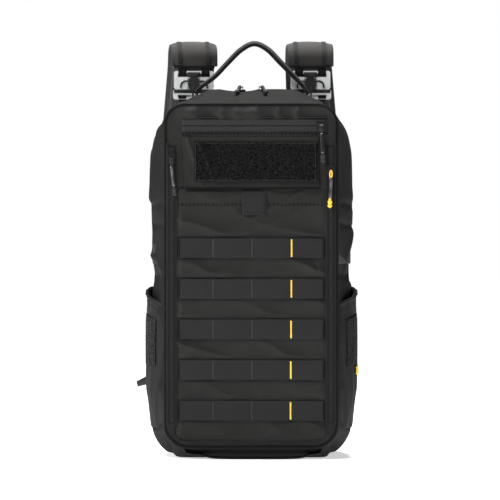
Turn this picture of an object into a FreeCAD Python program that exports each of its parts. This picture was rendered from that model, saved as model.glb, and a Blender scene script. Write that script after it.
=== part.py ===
"""Trauma backpack, in millimetres.

+X is the right-hand side seen from the front, -Y is the front and +Z is up. The origin is on the
ground under the pack, at the middle of its width. The pack stands on its base.
A rear half (back panel, harness, base boot) and a front half (the main lid) meet at a zipper plane.
The lid folds forward about the front edge of the base, and carries a fold-down front panel.
"""
import FreeCAD
import Part
import math
import os

V = FreeCAD.Vector
PARTS_FOLDER = "parts"

# ---- driving dimensions ----
CLOTH = 3.0                     # padded cloth wall
WEB_T = 1.6                     # webbing thickness
WEB_W = 25.4                    # webbing width, one inch
ROW_PITCH = 2 * WEB_W           # webbing grid rows, two inches apart
ROW_TOP_Z = 265.0               # centre height of the top webbing row
ROW_COUNT = 5
TACK_X = (-47.5, 1.0, 50.0)     # sewn tacks that divide each row into loops

PRESSED = 0.4                   # the base would bulge this far, and the ground presses it flat
# stations of the body: depth, half width, lowest, highest, lower and upper corner radius
FRONT = (-80.0, 106.0, 18.0, 443.0, 28.0, 22.0)
BROW = (-30.0, 124.0, -PRESSED, 458.0, 44.0, 80.0)
CROWN = (20.0, 125.0, -PRESSED, 466.0, 48.0, 86.0)
REAR = (78.0, 114.0, -PRESSED, 452.0, 42.0, 74.0)
STATIONS = (FRONT, BROW, CROWN, REAR)
SPLIT_Y = 5.0                   # plane of the main zipper
GAP = 0.3                       # clearance between pieces that move apart
BOOT_TOP_Z = 36.5               # height of the base boot's sides
TOP_CUT_Z = 400.0               # seam between side and top gussets
FAR = 1000.0

FACE_Y = FRONT[0]
PANEL_HALF = 94.4
PANEL_Z = (25.0, 341.0)
ZIP_X = 99.6                    # coil of the two upright front zippers
FLAP_X = (-86.0, 84.5)
FLAP_Z = (343.0, 404.0)
ADMIN_ZIP_Z = 418.0             # upper pocket's level zipper
ADMIN_SLIDER_X = 87.5
TAPE_T = 1.2                    # zipper tape with its coil

STRAP_X = 76.0                  # centre line of a shoulder strap
STRAP_W = 62.0
STRAP_T = 12.0
STRAP_NEAR_Y = 74.0             # strap's short run above the pack
STRAP_FAR_Y = 108.0             # strap's long run behind the pack
STRAP_ARC_Z = 513.0             # centre of the arc over the top
STRAP_PAD_Z = (165.0, 499.0)    # pad's lower end, and its upper end on the near run
BUCKLE_Z = 472.0                # joint line of the quick-release buckle
HINGE_Z = 455.2                 # fold line of the webbing that carries the buckle
HANDLE_Y = 42.0
HANDLE_FOOT = (75.0, 468.5)     # half span and height of the carry handle's pivots
HANDLE_APEX_Z = 532.0


# ---- small makers ----
def box(x, y, z):
    """A box from (low, high) pairs."""
    return Part.makeBox(x[1] - x[0], y[1] - y[0], z[1] - z[0], V(x[0], y[0], z[0]))


def mirror(shape):
    return shape.mirror(V(0, 0, 0), V(1, 0, 0))


def rounded_wire(y, half, low, high, r_low, r_high):
    """A rounded rectangle in the plane of that depth."""
    edges = []
    points = []
    for sx, sz in ((1, 1), (1, -1), (-1, -1), (-1, 1)):
        r = r_high if sz > 0 else r_low
        x = sx * (half - r)
        z = high - r if sz > 0 else low + r
        first, last = V(x, y, z + sz * r), V(x + sx * r, y, z)
        if sx * sz < 0:
            first, last = last, first
        k = r * math.sqrt(0.5)
        points.append((first, V(x + sx * k, y, z + sz * k), last))
    for i, (first, middle, last) in enumerate(points):
        edges.append(Part.Arc(first, middle, last).toShape())
        edges.append(Part.LineSegment(last, points[(i + 1) % 4][0]).toShape())
    return Part.Wire(edges)


def body_hull(grow):
    """The closed body through its stations, each grown or shrunk all round."""
    wires = [rounded_wire(y, half + grow, low - grow, high + grow, r_low + grow, r_high + grow)
             for y, half, low, high, r_low, r_high in STATIONS]
    return Part.makeLoft(wires, True, True)


def cut_to(shape, x=(-FAR, FAR), y=(-FAR, FAR), z=(-FAR, FAR)):
    return shape.common(box(x, y, z))


def polygon(points, vector):
    """A flat closed outline pushed along a vector."""
    corners = [V(*p) for p in points]
    return Part.Face(Part.makePolygon(corners + corners[:1])).extrude(vector)


def plate(x, y, z, r):
    """An upright plate with rounded corners, thickness along Y."""
    slab = box(x, y, z)
    upright = [e for e in slab.Edges
               if abs(e.Vertexes[0].Y - e.Vertexes[-1].Y) > 0.5 * (y[1] - y[0])]
    return slab.makeFillet(r, upright)


def ribbon(path, thickness, width, x_middle):
    """A band of constant thickness: path is a planar wire at x = 0, widened along X."""
    band = path.makeOffset2D(thickness, 0, True, True)
    band.translate(V(x_middle - width / 2, 0, 0))
    return band.extrude(V(width, 0, 0))


def line(a, b):
    return Part.LineSegment(V(0, *a), V(0, *b)).toShape()


def arc(a, middle, b):
    return Part.Arc(V(0, *a), V(0, *middle), V(0, *b)).toShape()


def rod(a, b, r):
    d = V(*b).sub(V(*a))
    return Part.makeCylinder(r, d.Length, V(*a), d)


def rounded_path(points, bends):
    """Straight runs joined by tangent arcs, one radius for each corner."""
    corners = [V(*p) for p in points]
    edges = []
    start = corners[0]
    for before, corner, after, bend in zip(corners, corners[1:], corners[2:], bends):
        a = before.sub(corner).normalize()
        b = after.sub(corner).normalize()
        half = a.getAngle(b) / 2
        back = bend / math.tan(half)
        first, last = corner + a * back, corner + b * back
        centre = corner + (a + b).normalize() * (bend / math.sin(half))
        middle = centre + corner.sub(centre).normalize() * bend
        edges.append(Part.LineSegment(start, first).toShape())
        edges.append(Part.Arc(first, middle, last).toShape())
        start = last
    edges.append(Part.LineSegment(start, corners[-1]).toShape())
    return Part.Wire(edges)


def tube_along(points, r, bend):
    """A round tube along straight runs joined by tangent arcs."""
    path = rounded_path(points, [bend] * (len(points) - 2))
    start = V(*points[0])
    circle = Part.Wire(Part.makeCircle(r, start, V(*points[1]).sub(start)))
    return path.makePipeShell([circle], True, False)


# ---- body cloth ----
OUTER = body_hull(0.0)
INNER = body_hull(-CLOTH)
WALL = OUTER.cut(INNER)
FACE_BACK_Y = FACE_Y + CLOTH


def side_gussets(y_range):
    """The two side walls of one half of the body."""
    z_range = (BOOT_TOP_Z + GAP, TOP_CUT_Z)
    left = cut_to(WALL, x=(-FAR, 0), y=y_range, z=z_range)
    return left, mirror(left)


def top_gusset(y_range):
    return cut_to(WALL, y=y_range, z=(TOP_CUT_Z, FAR))


def base_boot():
    """The reinforced tray that the pack stands on."""
    return cut_to(WALL, y=(FACE_BACK_Y + 1.0, REAR[0] - CLOTH), z=(0, BOOT_TOP_Z))


def back_panel():
    return cut_to(OUTER, y=(REAR[0] - CLOTH, FAR), z=(0, FAR))


def front_frame():
    """The front face around the fold-down panel."""
    face = cut_to(OUTER, y=(-FAR, FACE_BACK_Y))
    window = plate((-PANEL_HALF - GAP, PANEL_HALF + GAP), (FACE_Y - 5, FACE_BACK_Y + 5),
                   (PANEL_Z[0] - GAP, PANEL_Z[1] + GAP), 12.0)
    return face.cut(window)


DIVIDER_Y = (-50.0, -48.0)
FLOOR_HALF = 90.0
FLOOR_Z = (24.0, 26.0)


def pocket_divider():
    """Wall between the front pocket and the main compartment, with the pocket's floor."""
    wall = cut_to(INNER, y=DIVIDER_Y, z=(BOOT_TOP_Z + GAP, FAR))
    apron = box((-FLOOR_HALF, FLOOR_HALF), DIVIDER_Y, (FLOOR_Z[0], BOOT_TOP_Z + GAP))
    floor = box((-FLOOR_HALF, FLOOR_HALF), (FACE_BACK_Y, DIVIDER_Y[0]), FLOOR_Z)
    return wall.fuse([apron, floor]).removeSplitter()


def zip_band(y_range):
    """Zipper tape laid over the gussets round the sides and top."""
    band = body_hull(TAPE_T).cut(OUTER)
    return cut_to(band, y=y_range, z=(BOOT_TOP_Z + 2, FAR))


# ---- side pockets and side webbing, on the lid ----
POCKET_Z = (BOOT_TOP_Z + 1.5, 214.0)
POCKET_DROP = 20.0              # the mouth is this much lower at the front
POCKET_OUT_X = 133.0
POCKET_WALL = 1.8
POCKET_BACK_Y = SPLIT_Y - 9.5
SIDE_ROW_Z = 258.0              # centre height of the side webbing


def side_pocket():
    """Stretch pocket on the right-hand gusset, open at the top."""
    z0, z1 = POCKET_Z
    outer = [(109.0, -73.0), (124.0, -56.0), (POCKET_OUT_X, -36.0),
             (POCKET_OUT_X, -14.0), (125.9, POCKET_BACK_Y)]
    inner = [(125.2, -11.0), (POCKET_OUT_X - POCKET_WALL, -16.5),
             (POCKET_OUT_X - POCKET_WALL, -35.0), (122.6, -54.2), (112.4, -65.5)]
    shape = polygon([(x, y, z0) for x, y in outer + inner], V(0, 0, z1 - z0))
    mouth = polygon([(0, -75.0, z1 - POCKET_DROP), (0, POCKET_BACK_Y + 2, z1 + 1),
                     (0, -75.0, z1 + 1)], V(2 * POCKET_OUT_X, 0, 0))
    floor_outline = [(x - 0.4, y) for x, y in outer]
    floor_outline += [(124.6, -28.0), (109.5, -70.0)]
    floor = polygon([(x, y, z0) for x, y in floor_outline], V(0, 0, POCKET_WALL))
    return shape.cut(mouth).fuse(floor.cut(OUTER)).removeSplitter().cut(OUTER)


def on_pocket_front(inner, thickness, z):
    """A flat piece laid on the pocket's slanted front, along the plan points given."""
    outer = [(x + 0.75 * thickness, y - 0.66 * thickness) for x, y in inner]
    outline = [(x, y, z[0]) for x, y in inner + outer[::-1]]
    return polygon(outline, V(0, 0, z[1] - z[0])).cut(side_pocket())


def side_loop_patch():
    return on_pocket_front([(114.2, -67.3), (123.8, -56.4), (131.6, -39.5)], 1.8, (122.0, 178.0))


def label_tab():
    """Small folded tab on the right-hand pocket."""
    return on_pocket_front([(127.0, -49.6), (131.8, -39.0)], 1.6, (105.0, 115.0))


def side_webbing():
    """A webbing row that follows the flare of the right-hand gusset."""
    inner = [(107.9, -76.5), (124.9, -29.9), (126.0, POCKET_BACK_Y)]
    outer = [(126.0 + WEB_T, POCKET_BACK_Y), (126.5, -30.3), (109.4, -77.1)]
    outline = [(x, y, SIDE_ROW_Z - WEB_W / 2) for x, y in inner + outer]
    return polygon(outline, V(0, 0, WEB_W)).cut(OUTER)


# ---- front face ----
def panel_cloth():
    return plate((-PANEL_HALF, PANEL_HALF), (FACE_Y, FACE_Y + 2.0), PANEL_Z, 12.0)


ROW_HALF = 91.0
ROW_GAP = 1.0                   # how far a row's loops stand off the cloth
TACK_W = 1.8
ROW_Z = [ROW_TOP_Z - i * ROW_PITCH for i in range(ROW_COUNT)]


def webbing_rows():
    y = (FACE_Y - ROW_GAP - WEB_T, FACE_Y - ROW_GAP)
    return [box((-ROW_HALF, ROW_HALF), y, (z - WEB_W / 2, z + WEB_W / 2)) for z in ROW_Z]


def tacks(columns, height):
    """Bar tacks: thread blocks that go through a row into the cloth behind it."""
    y = (FACE_Y - ROW_GAP - WEB_T - 0.5, FACE_Y)
    return [box((x - TACK_W / 2, x + TACK_W / 2), y, (z - height / 2, z + height / 2))
            for z in ROW_Z for x in columns]


def flap_cloth():
    return plate(FLAP_X, (FACE_Y - 2.3, FACE_Y - GAP), FLAP_Z, 4.0)


def flap_loop_field():
    return box((-71.0, 83.0), (FACE_Y - 4.0, FACE_Y - 2.3), (350.0, 402.0))


def pull_tab():
    return box((-11.0, 20.0), (FACE_Y - 2.6, FACE_Y - GAP), (306.0, 338.0))


def zip_on_face(x, z, coil_x, coil_z):
    """A flat zipper on the front face: its tape, and the raised coil along it."""
    tape = box(x, (FACE_Y - 0.7, FACE_Y), z)
    return tape.fuse(box(coil_x, (FACE_Y - TAPE_T, FACE_Y - 0.7), coil_z))


def front_zip():
    """The right-hand zipper beside the fold-down panel."""
    z = (46.0, 392.0)
    return zip_on_face((PANEL_HALF + 0.4, FRONT[1] - 1.0), z, (ZIP_X - 2.2, ZIP_X + 2.2), z)


def upper_zip():
    """The level zipper of the upper pocket."""
    x = (-86.0, 94.0)
    return zip_on_face(x, (ADMIN_ZIP_Z - 9, ADMIN_ZIP_Z + 9), x, (ADMIN_ZIP_Z - 2, ADMIN_ZIP_Z + 2))


# ---- zipper sliders and their pulls ----
BAR_UP = 6.4                    # pivot bar above the tape
BAR_R = 0.8
PULL_LOOP_R = 2.0
PULL_LENGTH = 48.0
GRIP_R = 2.3
KNOT_R = 2.6


def slider(x, across, along):
    """A slider lying on a surface that faces +Z: body, two posts and the pull's bar."""
    base = box((x - across / 2, x + across / 2), (-along / 2, along / 2), (0.2, 2.8))
    posts = [box((x + s * 2.6 - 0.5, x + s * 2.6 + 0.5), (-1.0, 1.0), (2.6, BAR_UP + BAR_R))
             for s in (-1, 1)]
    bar = rod((x - 2.8, 0, BAR_UP), (x + 2.8, 0, BAR_UP), BAR_R)
    return base.fuse(posts + [bar]).removeSplitter()


def pull(x):
    """A cord pull for such a slider, pointing along -Y: loop, shank, grip tube and knot."""
    loop = rod((x - 1.5, 0, BAR_UP), (x + 1.5, 0, BAR_UP), PULL_LOOP_R)
    shank = rod((x, -1.6, BAR_UP), (x, -10, BAR_UP), 1.3)
    grip = rod((x, -8, BAR_UP), (x, -PULL_LENGTH + 14, BAR_UP), GRIP_R)
    cord = rod((x, -PULL_LENGTH + 14, BAR_UP), (x, -PULL_LENGTH + 3, BAR_UP), 1.9)
    knot = Part.makeSphere(KNOT_R, V(x, -PULL_LENGTH + KNOT_R, BAR_UP))
    hole = rod((x - 2, 0, BAR_UP), (x + 2, 0, BAR_UP), BAR_R + 0.3)
    return loop.fuse([shank, grip, cord, knot]).cut(hole)


def to_front(shape, z):
    """Turns a piece made on a level surface to stand on the front face at a height."""
    turned = shape.copy()
    turned.rotate(V(0, 0, 0), V(1, 0, 0), 90)
    turned.translate(V(0, FACE_Y - TAPE_T, z))
    return turned


# ---- carry handle and bottom handle ----
HANDLE_W = 12.0
HANDLE_T = 4.5
ANCHOR_T = 2.0


def carry_handle():
    """A folded strap standing as a tall arch, with rounded ends that turn on the anchors."""
    foot_x, foot_z = HANDLE_FOOT
    points = [(-foot_x, HANDLE_Y, foot_z), (-foot_x, HANDLE_Y, foot_z + 10),
              (0, HANDLE_Y, HANDLE_APEX_Z + 7.0), (foot_x, HANDLE_Y, foot_z + 10),
              (foot_x, HANDLE_Y, foot_z)]
    band = rounded_path(points, (8.0, 26.0, 8.0)).makeOffset2D(-HANDLE_T, 0, True, True)
    band.translate(V(0, -HANDLE_W / 2, 0))
    made = band.extrude(V(0, HANDLE_W, 0))
    for sign in (-1, 1):
        x = sign * (foot_x - HANDLE_T / 2)
        made = made.fuse(rod((x - HANDLE_T / 2, HANDLE_Y, foot_z),
                             (x + HANDLE_T / 2, HANDLE_Y, foot_z), HANDLE_W / 2))
    return made.removeSplitter()


def handle_anchor():
    """Sewn webbing ear beside the right-hand end of the carry handle."""
    x0 = HANDLE_FOOT[0] + GAP
    ear = box((x0, x0 + ANCHOR_T), (HANDLE_Y - HANDLE_W / 2, HANDLE_Y + HANDLE_W / 2),
              (430.0, HANDLE_FOOT[1] + 5))
    return ear.cut(OUTER)


def bottom_handle():
    """Webbing handle under the front edge of the base, with its two sewn feet."""
    y0, width = -74.0, 21.0
    low, high = 0.2, 5.2
    t = 2.0
    points = [(-84, high), (-64, high), (-46, low), (58, low), (76, high), (88, high)]
    upper = [(x, z + t) for x, z in points]
    outline = [(x, y0, z) for x, z in points + upper[::-1]]
    strap = polygon(outline, V(0, width, 0))
    feet = []
    for x0, x1 in ((-84, -66), (78, 88)):
        foot = box((x0, x1), (y0, y0 + width), (high + t, 18.0))
        feet.append(foot.cut(OUTER))
    return strap.fuse(feet).removeSplitter()


# ---- harness ----
LOOP_HALF = 20.0                # half width of the webbing that holds the buckle
BUCKLE_SLOT_Z = (488.0, 492.5)
BUCKLE_BACK = 3.0               # back face of the buckle plate, behind the strap's near run
SOCKET_BACK = 4.0


def webbing_hook(slot_z, back_y, end_z):
    """Webbing that goes through a buckle's slot and leaves behind it, up or down."""
    x = (STRAP_X - LOOP_HALF, STRAP_X + LOOP_HALF)
    z = (slot_z[0] + 0.4, slot_z[1] - 0.4)
    tongue = box(x, (STRAP_NEAR_Y - 0.5, back_y + WEB_T), z)
    leg = box(x, (back_y, back_y + WEB_T), (min(z[0], end_z), max(z[1], end_z)))
    return tongue.fuse(leg).removeSplitter()


def strap_pad():
    """Padded strap on the right-hand side: short near run, arc over the top, long far run."""
    near, far = STRAP_NEAR_Y - STRAP_T / 2, STRAP_FAR_Y + STRAP_T / 2
    radius = (far - near) / 2
    middle_y = (far + near) / 2
    path = Part.Wire([line((near, STRAP_PAD_Z[1]), (near, STRAP_ARC_Z)),
                      arc((near, STRAP_ARC_Z), (middle_y, STRAP_ARC_Z + radius),
                          (far, STRAP_ARC_Z)),
                      line((far, STRAP_ARC_Z), (far, STRAP_ARC_Z - 5))])
    over = ribbon(path, STRAP_T, STRAP_W, STRAP_X)
    x0, x1 = STRAP_X - STRAP_W / 2, STRAP_X + STRAP_W / 2
    z0, z1 = STRAP_PAD_Z[0], STRAP_ARC_Z - 5
    outline = [(x0, z1), (x1, z1), (x1 + 5, z1 - 90), (x1 + 4, z1 - 170), (x1 - 6, z0 + 12),
               (x1 - 14, z0), (x0 + 16, z0), (x0 + 8, z0 + 12), (x0 + 10, z1 - 170),
               (x0 + 5, z1 - 90)]
    run = polygon([(x, far - STRAP_T, z) for x, z in outline], V(0, STRAP_T, 0))
    loop = webbing_hook(BUCKLE_SLOT_Z, STRAP_NEAR_Y + BUCKLE_BACK, STRAP_PAD_Z[1])
    return [over.fuse(run).removeSplitter(), loop]


LOCK_Z = (120.0, 146.0)
LOCK_X = 84.0


def ladder_lock():
    """Three-bar adjuster hung from the pad by a short loop."""
    y = (104.0, 109.0)
    frame = plate((LOCK_X - 17, LOCK_X + 17), y, LOCK_Z, 3.0)
    for z in (125.0, 136.0):
        frame = frame.cut(box((LOCK_X - 13.2, LOCK_X + 13.2), (y[0] - 1, y[1] + 1), (z, z + 5.5)))
    hanger = box((LOCK_X - 12.5, LOCK_X + 12.5), (105.2, 107.4), (LOCK_Z[1], STRAP_PAD_Z[0]))
    return frame.fuse(hanger)


def lower_webbing():
    """Adjusting webbing from the lock down to the base, and its free tail."""
    path = Part.Wire([line((102.3, 134.0), (102.3, 96.0)),
                      arc((102.3, 96.0), (98.5, 80.5), (91.0, 66.0)),
                      line((91.0, 66.0), (83.2, 53.4))])
    run = ribbon(path, WEB_T, WEB_W, LOCK_X)
    half, tail_y = WEB_W / 2, 109.4
    outline = [(-half, 133.0), (half, 133.0), (34, 108.0), (59, 92.0), (53, 78.0), (18, 96.0),
               (-half, 120.0)]
    tail = polygon([(LOCK_X + x, tail_y, z) for x, z in outline], V(0, WEB_T, 0))
    return [run, tail]


def anchor_tab():
    """Sewn tab on the back panel's lower corner."""
    return box((LOCK_X - 16, LOCK_X + 16), (REAR[0], REAR[0] + 2.0), (30.0, 52.0))


BUCKLE_HALF = 26.0


def buckle_plate():
    """Upper half of the quick-release buckle, with its webbing slot and two tongues."""
    x0, x1 = STRAP_X - BUCKLE_HALF, STRAP_X + BUCKLE_HALF
    made = plate((x0, x1), (STRAP_NEAR_Y - 3.5, STRAP_NEAR_Y + BUCKLE_BACK),
                 (BUCKLE_Z + GAP, 496.0), 3.0)
    slot = box((x0 + 5, x1 - 5), (0, FAR), BUCKLE_SLOT_Z)
    well = box((STRAP_X - 8.0, STRAP_X + 8.0), (0, STRAP_NEAR_Y - 0.5), (0, BUCKLE_SLOT_Z[1]))
    return made.cut(slot).cut(well)


def buckle_socket():
    """Lower half of the buckle, and the webbing that holds it to the pack's fold line."""
    x0, x1 = STRAP_X - BUCKLE_HALF - 1, STRAP_X + BUCKLE_HALF + 1
    back_y = STRAP_NEAR_Y + SOCKET_BACK
    made = plate((x0, x1), (STRAP_NEAR_Y - 4.5, back_y), (459.0, BUCKLE_Z), 3.0)
    slot_z = (461.5, 465.0)
    slot = box((x0 + 6, x1 - 6), (0, FAR), slot_z)
    well = box((STRAP_X - 8.0, STRAP_X + 8.0), (0, STRAP_NEAR_Y - 0.5), (468.0, FAR))
    return [made.cut(slot).cut(well), webbing_hook(slot_z, back_y, HINGE_Z + 0.8)]


def anchor_webbing():
    """Webbing sewn on the back panel, up to the buckle's fold line."""
    return box((STRAP_X - LOOP_HALF, STRAP_X + LOOP_HALF), (REAR[0], REAR[0] + WEB_T),
               (415.0, HINGE_Z - 0.8))


def release_latch():
    """Latch that lifts to free the buckle, with its cord loop and cloth tab."""
    y0 = STRAP_NEAR_Y - 7.4
    latch = polygon([(STRAP_X - 5.0, y0, 469.5), (STRAP_X + 5.0, y0, 469.5),
                     (STRAP_X + 7.4, y0, 479.0), (STRAP_X + 6.0, y0, 486.0),
                     (STRAP_X - 6.0, y0, 486.0), (STRAP_X - 7.4, y0, 479.0)], V(0, 6.4, 0))
    bow = tube_along([(STRAP_X - 17, y0 + 1.6, 473.5), (STRAP_X - 17, y0 + 1.6, 482.5),
                      (STRAP_X + 17, y0 + 1.6, 482.5), (STRAP_X + 17, y0 + 1.6, 473.5)], 1.1, 6.0)
    tab = polygon([(STRAP_X - 4.0, y0 + 1.0, 486.0), (STRAP_X + 4.0, y0 + 1.0, 486.0),
                   (STRAP_X + 9.0, y0 + 1.0, 493.0), (STRAP_X - 9.0, y0 + 1.0, 493.0)], V(0, 2.0, 0))
    return latch.fuse([bow, tab]).removeSplitter()


STERNUM_X = 62.0
STERNUM_Z = 400.0


def sternum_strap(is_plug):
    """Keeper on the strap, its short chest webbing, and half of the chest buckle."""
    y0 = STRAP_FAR_Y + STRAP_T / 2 + GAP
    keeper = plate((STERNUM_X - 12, STERNUM_X + 12), (y0, y0 + 3.2),
                   (STERNUM_Z - 7, STERNUM_Z + 7), 2.0)
    top = STERNUM_Z - 62
    web = box((STERNUM_X - 9.5, STERNUM_X + 9.5), (y0 + 0.8, y0 + 2.4), (top, STERNUM_Z - 7))
    length = 10 if is_plug else 26
    half = plate((STERNUM_X - 13, STERNUM_X + 13), (y0, y0 + 6.0), (top - length, top), 3.0)
    if is_plug:
        prongs = [box((STERNUM_X + a, STERNUM_X + b), (y0 + 1.5, y0 + 4.5), (top - 27, top - 10))
                  for a, b in ((-9.5, -6.5), (-1.5, 1.5), (6.5, 9.5))]
        half = half.fuse(prongs).removeSplitter()
    else:
        half = half.cut(box((STERNUM_X - 10, STERNUM_X + 10), (y0 + 1.2, y0 + 4.8),
                            (top - 30, top - 8)))
    return [keeper.fuse(web), half]


PAD_OUT_Y = REAR[0] + 13.0


def back_pads():
    """Two upper pads and a lumbar pad."""
    y = (REAR[0] + GAP, PAD_OUT_Y)
    upper = plate((14.0, 98.0), y, (212.0, 408.0), 14.0)
    lumbar = plate((-66.0, 66.0), y, (66.0, 186.0), 18.0)
    return [upper, mirror(upper), lumbar]


# ---- inside ----
def frame_sheet():
    return plate((-100.0, 100.0), (72.6, REAR[0] - CLOTH), (44.0, 428.0), 24.0)


def inner_loop_panel():
    return plate((-98.0, 98.0), (71.0, 72.6), (48.0, 424.0), 22.0)


def mesh_pockets():
    """Two flat mesh pockets on the lid's inside."""
    y = (DIVIDER_Y[1], DIVIDER_Y[1] + 1.4)
    return [plate((-98.0, 98.0), y, z, 8.0) for z in ((62.0, 226.0), (248.0, 412.0))]


def organiser_loops():
    """Elastic rows on the divider, inside the front pocket."""
    y = (DIVIDER_Y[0] - 1.5, DIVIDER_Y[0])
    return [box((-84.0, 84.0), y, (z - 19, z + 19)) for z in (280.0, 180.0, 80.0)]


# ---- export ----
def export(name, shapes):
    shapes = shapes if isinstance(shapes, (list, tuple)) else [shapes]
    solids = [s for shape in shapes for s in shape.Solids]
    made = solids[0] if len(solids) == 1 else Part.makeCompound(solids)
    bad = [s for s in solids if not s.isValid() or s.Volume <= 0]
    if not solids or bad:
        raise ValueError(name + " has no valid solid")
    made.exportStep(os.path.join(PARTS_FOLDER, name + ".step"))


def export_both(name, make):
    """The same piece for both sides, each a node of its own."""
    right = make()
    rights = right if isinstance(right, list) else [right]
    export(name + "_right", rights)
    export(name + "_left", [mirror(s) for s in rights])


def export_pair(name, make):
    """Both sides in one node, as separate solids."""
    right = make()
    export(name, [right, mirror(right)])


SLIDER_UPRIGHT = (9.0, 12.0)    # slider's width and length, zipper running up
SLIDER_LEVEL = (12.0, 9.0)      # the same, zipper running sideways
FRONT_SLIDERS = {"left": (-ZIP_X, 377.0, SLIDER_UPRIGHT), "right": (ZIP_X, 362.0, SLIDER_UPRIGHT),
                 "upper": (ADMIN_SLIDER_X, ADMIN_ZIP_Z, SLIDER_LEVEL)}
TOP_SLIDERS = {"main_left": -14.0, "main_right": 12.0}


def export_zip_ends():
    """Each zipper's slider and its cord pull, on the front face and on the top."""
    for name, (x, z, size) in FRONT_SLIDERS.items():
        export("zip_slider_" + name, to_front(slider(x, *size), z))
        export("zip_pull_" + name, to_front(pull(x), z))
    slope = (CROWN[3] - BROW[3]) / (CROWN[0] - BROW[0])
    top_z = BROW[3] + slope * (SPLIT_Y - BROW[0]) + TAPE_T
    for name, x in TOP_SLIDERS.items():
        for kind, made in (("slider", slider(x, *SLIDER_LEVEL)), ("pull", pull(x))):
            made.rotate(V(0, 0, 0), V(1, 0, 0), math.degrees(math.atan(slope)))
            made.translate(V(0, SPLIT_Y, top_z))
            export("zip_%s_%s" % (kind, name), made)


def main():
    os.makedirs(PARTS_FOLDER, exist_ok=True)
    lid_y = (FACE_BACK_Y, SPLIT_Y - GAP)
    rear_y = (SPLIT_Y + GAP, REAR[0] - CLOTH)
    for half, y_range in (("front", lid_y), ("rear", rear_y)):
        left, right = side_gussets(y_range)
        export(half + "_side_gusset_left", left)
        export(half + "_side_gusset_right", right)
        export(half + "_top_gusset", top_gusset(y_range))
    export("base_boot", base_boot())
    export("back_panel", back_panel())
    export("front_frame", front_frame())
    export("pocket_divider", pocket_divider())
    export("main_zip_tape_front", zip_band((SPLIT_Y - 9, SPLIT_Y - GAP)))
    export("main_zip_tape_rear", zip_band((SPLIT_Y + GAP, SPLIT_Y + 9)))
    export("frame_sheet", frame_sheet())
    export("inner_loop_panel", inner_loop_panel())
    export("inner_mesh_pockets", mesh_pockets())
    export("organiser_loops", organiser_loops())

    export_both("side_pocket", side_pocket)
    export_pair("side_loop_patches", side_loop_patch)
    export_pair("side_webbing", side_webbing)
    export("side_label_tab", label_tab())

    export("front_panel_cloth", panel_cloth())
    yellow = tacks(TACK_X[2:], WEB_W - 4)
    end_x = ROW_HALF - TACK_W / 2
    black = tacks((-end_x, *TACK_X[:2], end_x), WEB_W - 2)
    threads = Part.makeCompound(yellow + black)
    export("webbing_rows", [row.cut(threads) for row in webbing_rows()])
    export("bar_tacks_yellow", yellow)
    export("bar_tacks_black", black)
    export("flap_cloth", flap_cloth())
    export("flap_loop_field", flap_loop_field())
    export("front_pull_tab", pull_tab())
    export_pair("front_zip_tapes", front_zip)
    export("upper_zip_tape", upper_zip())
    export_zip_ends()

    export("carry_handle", carry_handle())
    export_pair("handle_anchors", handle_anchor)
    export("bottom_handle", bottom_handle())

    export_both("strap_pad", strap_pad)
    export_both("ladder_lock", ladder_lock)
    export_both("lower_webbing", lower_webbing)
    export_pair("lower_anchor_tabs", anchor_tab)
    export_both("buckle_plate", buckle_plate)
    export_both("buckle_socket", buckle_socket)
    export_pair("buckle_anchor_webbing", anchor_webbing)
    export_both("release_latch", release_latch)
    export("sternum_strap_right", sternum_strap(True))
    export("sternum_strap_left", [mirror(s) for s in sternum_strap(False)])
    export("back_pads", back_pads())


main()
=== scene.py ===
"""Trauma backpack: the look of each piece, in metres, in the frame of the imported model."""
import bpy
import math
import numpy as np
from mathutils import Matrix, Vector, noise


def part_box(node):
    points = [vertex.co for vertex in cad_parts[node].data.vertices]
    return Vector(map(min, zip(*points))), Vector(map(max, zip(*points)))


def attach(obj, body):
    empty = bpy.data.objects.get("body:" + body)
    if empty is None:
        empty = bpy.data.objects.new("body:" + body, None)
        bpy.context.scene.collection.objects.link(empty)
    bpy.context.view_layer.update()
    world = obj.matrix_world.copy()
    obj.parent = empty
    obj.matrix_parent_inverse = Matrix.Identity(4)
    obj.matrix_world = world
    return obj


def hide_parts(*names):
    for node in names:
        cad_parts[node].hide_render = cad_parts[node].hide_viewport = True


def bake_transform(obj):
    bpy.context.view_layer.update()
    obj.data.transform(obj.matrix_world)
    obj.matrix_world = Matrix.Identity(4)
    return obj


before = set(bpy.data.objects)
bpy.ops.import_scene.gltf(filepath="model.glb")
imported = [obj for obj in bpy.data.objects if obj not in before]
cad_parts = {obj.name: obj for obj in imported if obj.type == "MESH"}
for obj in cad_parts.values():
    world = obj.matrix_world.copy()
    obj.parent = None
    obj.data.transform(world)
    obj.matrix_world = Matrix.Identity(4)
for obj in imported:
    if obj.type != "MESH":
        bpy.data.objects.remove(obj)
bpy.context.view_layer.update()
MM = 0.001
# The way out of the pack's front and rear.
FRONT, REAR = (0, -1, 0), (0, 1, 0)


# ---- camera, light and floor ----
def add_camera():
    """Level and far off, and hardly turned."""
    yaw, distance, eye_z = math.radians(0.5), 3.5, 0.2625
    face_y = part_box("front_panel_cloth")[0].y
    data = bpy.data.cameras.new("camera")
    data.lens, data.sensor_width = 201.6, 36.0
    camera = bpy.data.objects.new("camera", data)
    bpy.context.scene.collection.objects.link(camera)
    camera.location = (distance * math.tan(yaw) - 1.5 * MM, face_y - distance, eye_z)
    camera.rotation_euler = (math.pi / 2, 0, yaw)
    bpy.context.scene.camera = camera


def add_area(name, place, target, size, power):
    data = bpy.data.lights.new(name, "AREA")
    data.shape, data.size, data.energy = "DISK", size, power
    light = bpy.data.objects.new(name, data)
    bpy.context.scene.collection.objects.link(light)
    light.location = place
    light.rotation_euler = (Vector(target) - Vector(place)).to_track_quat("-Z", "Y").to_euler()


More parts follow.
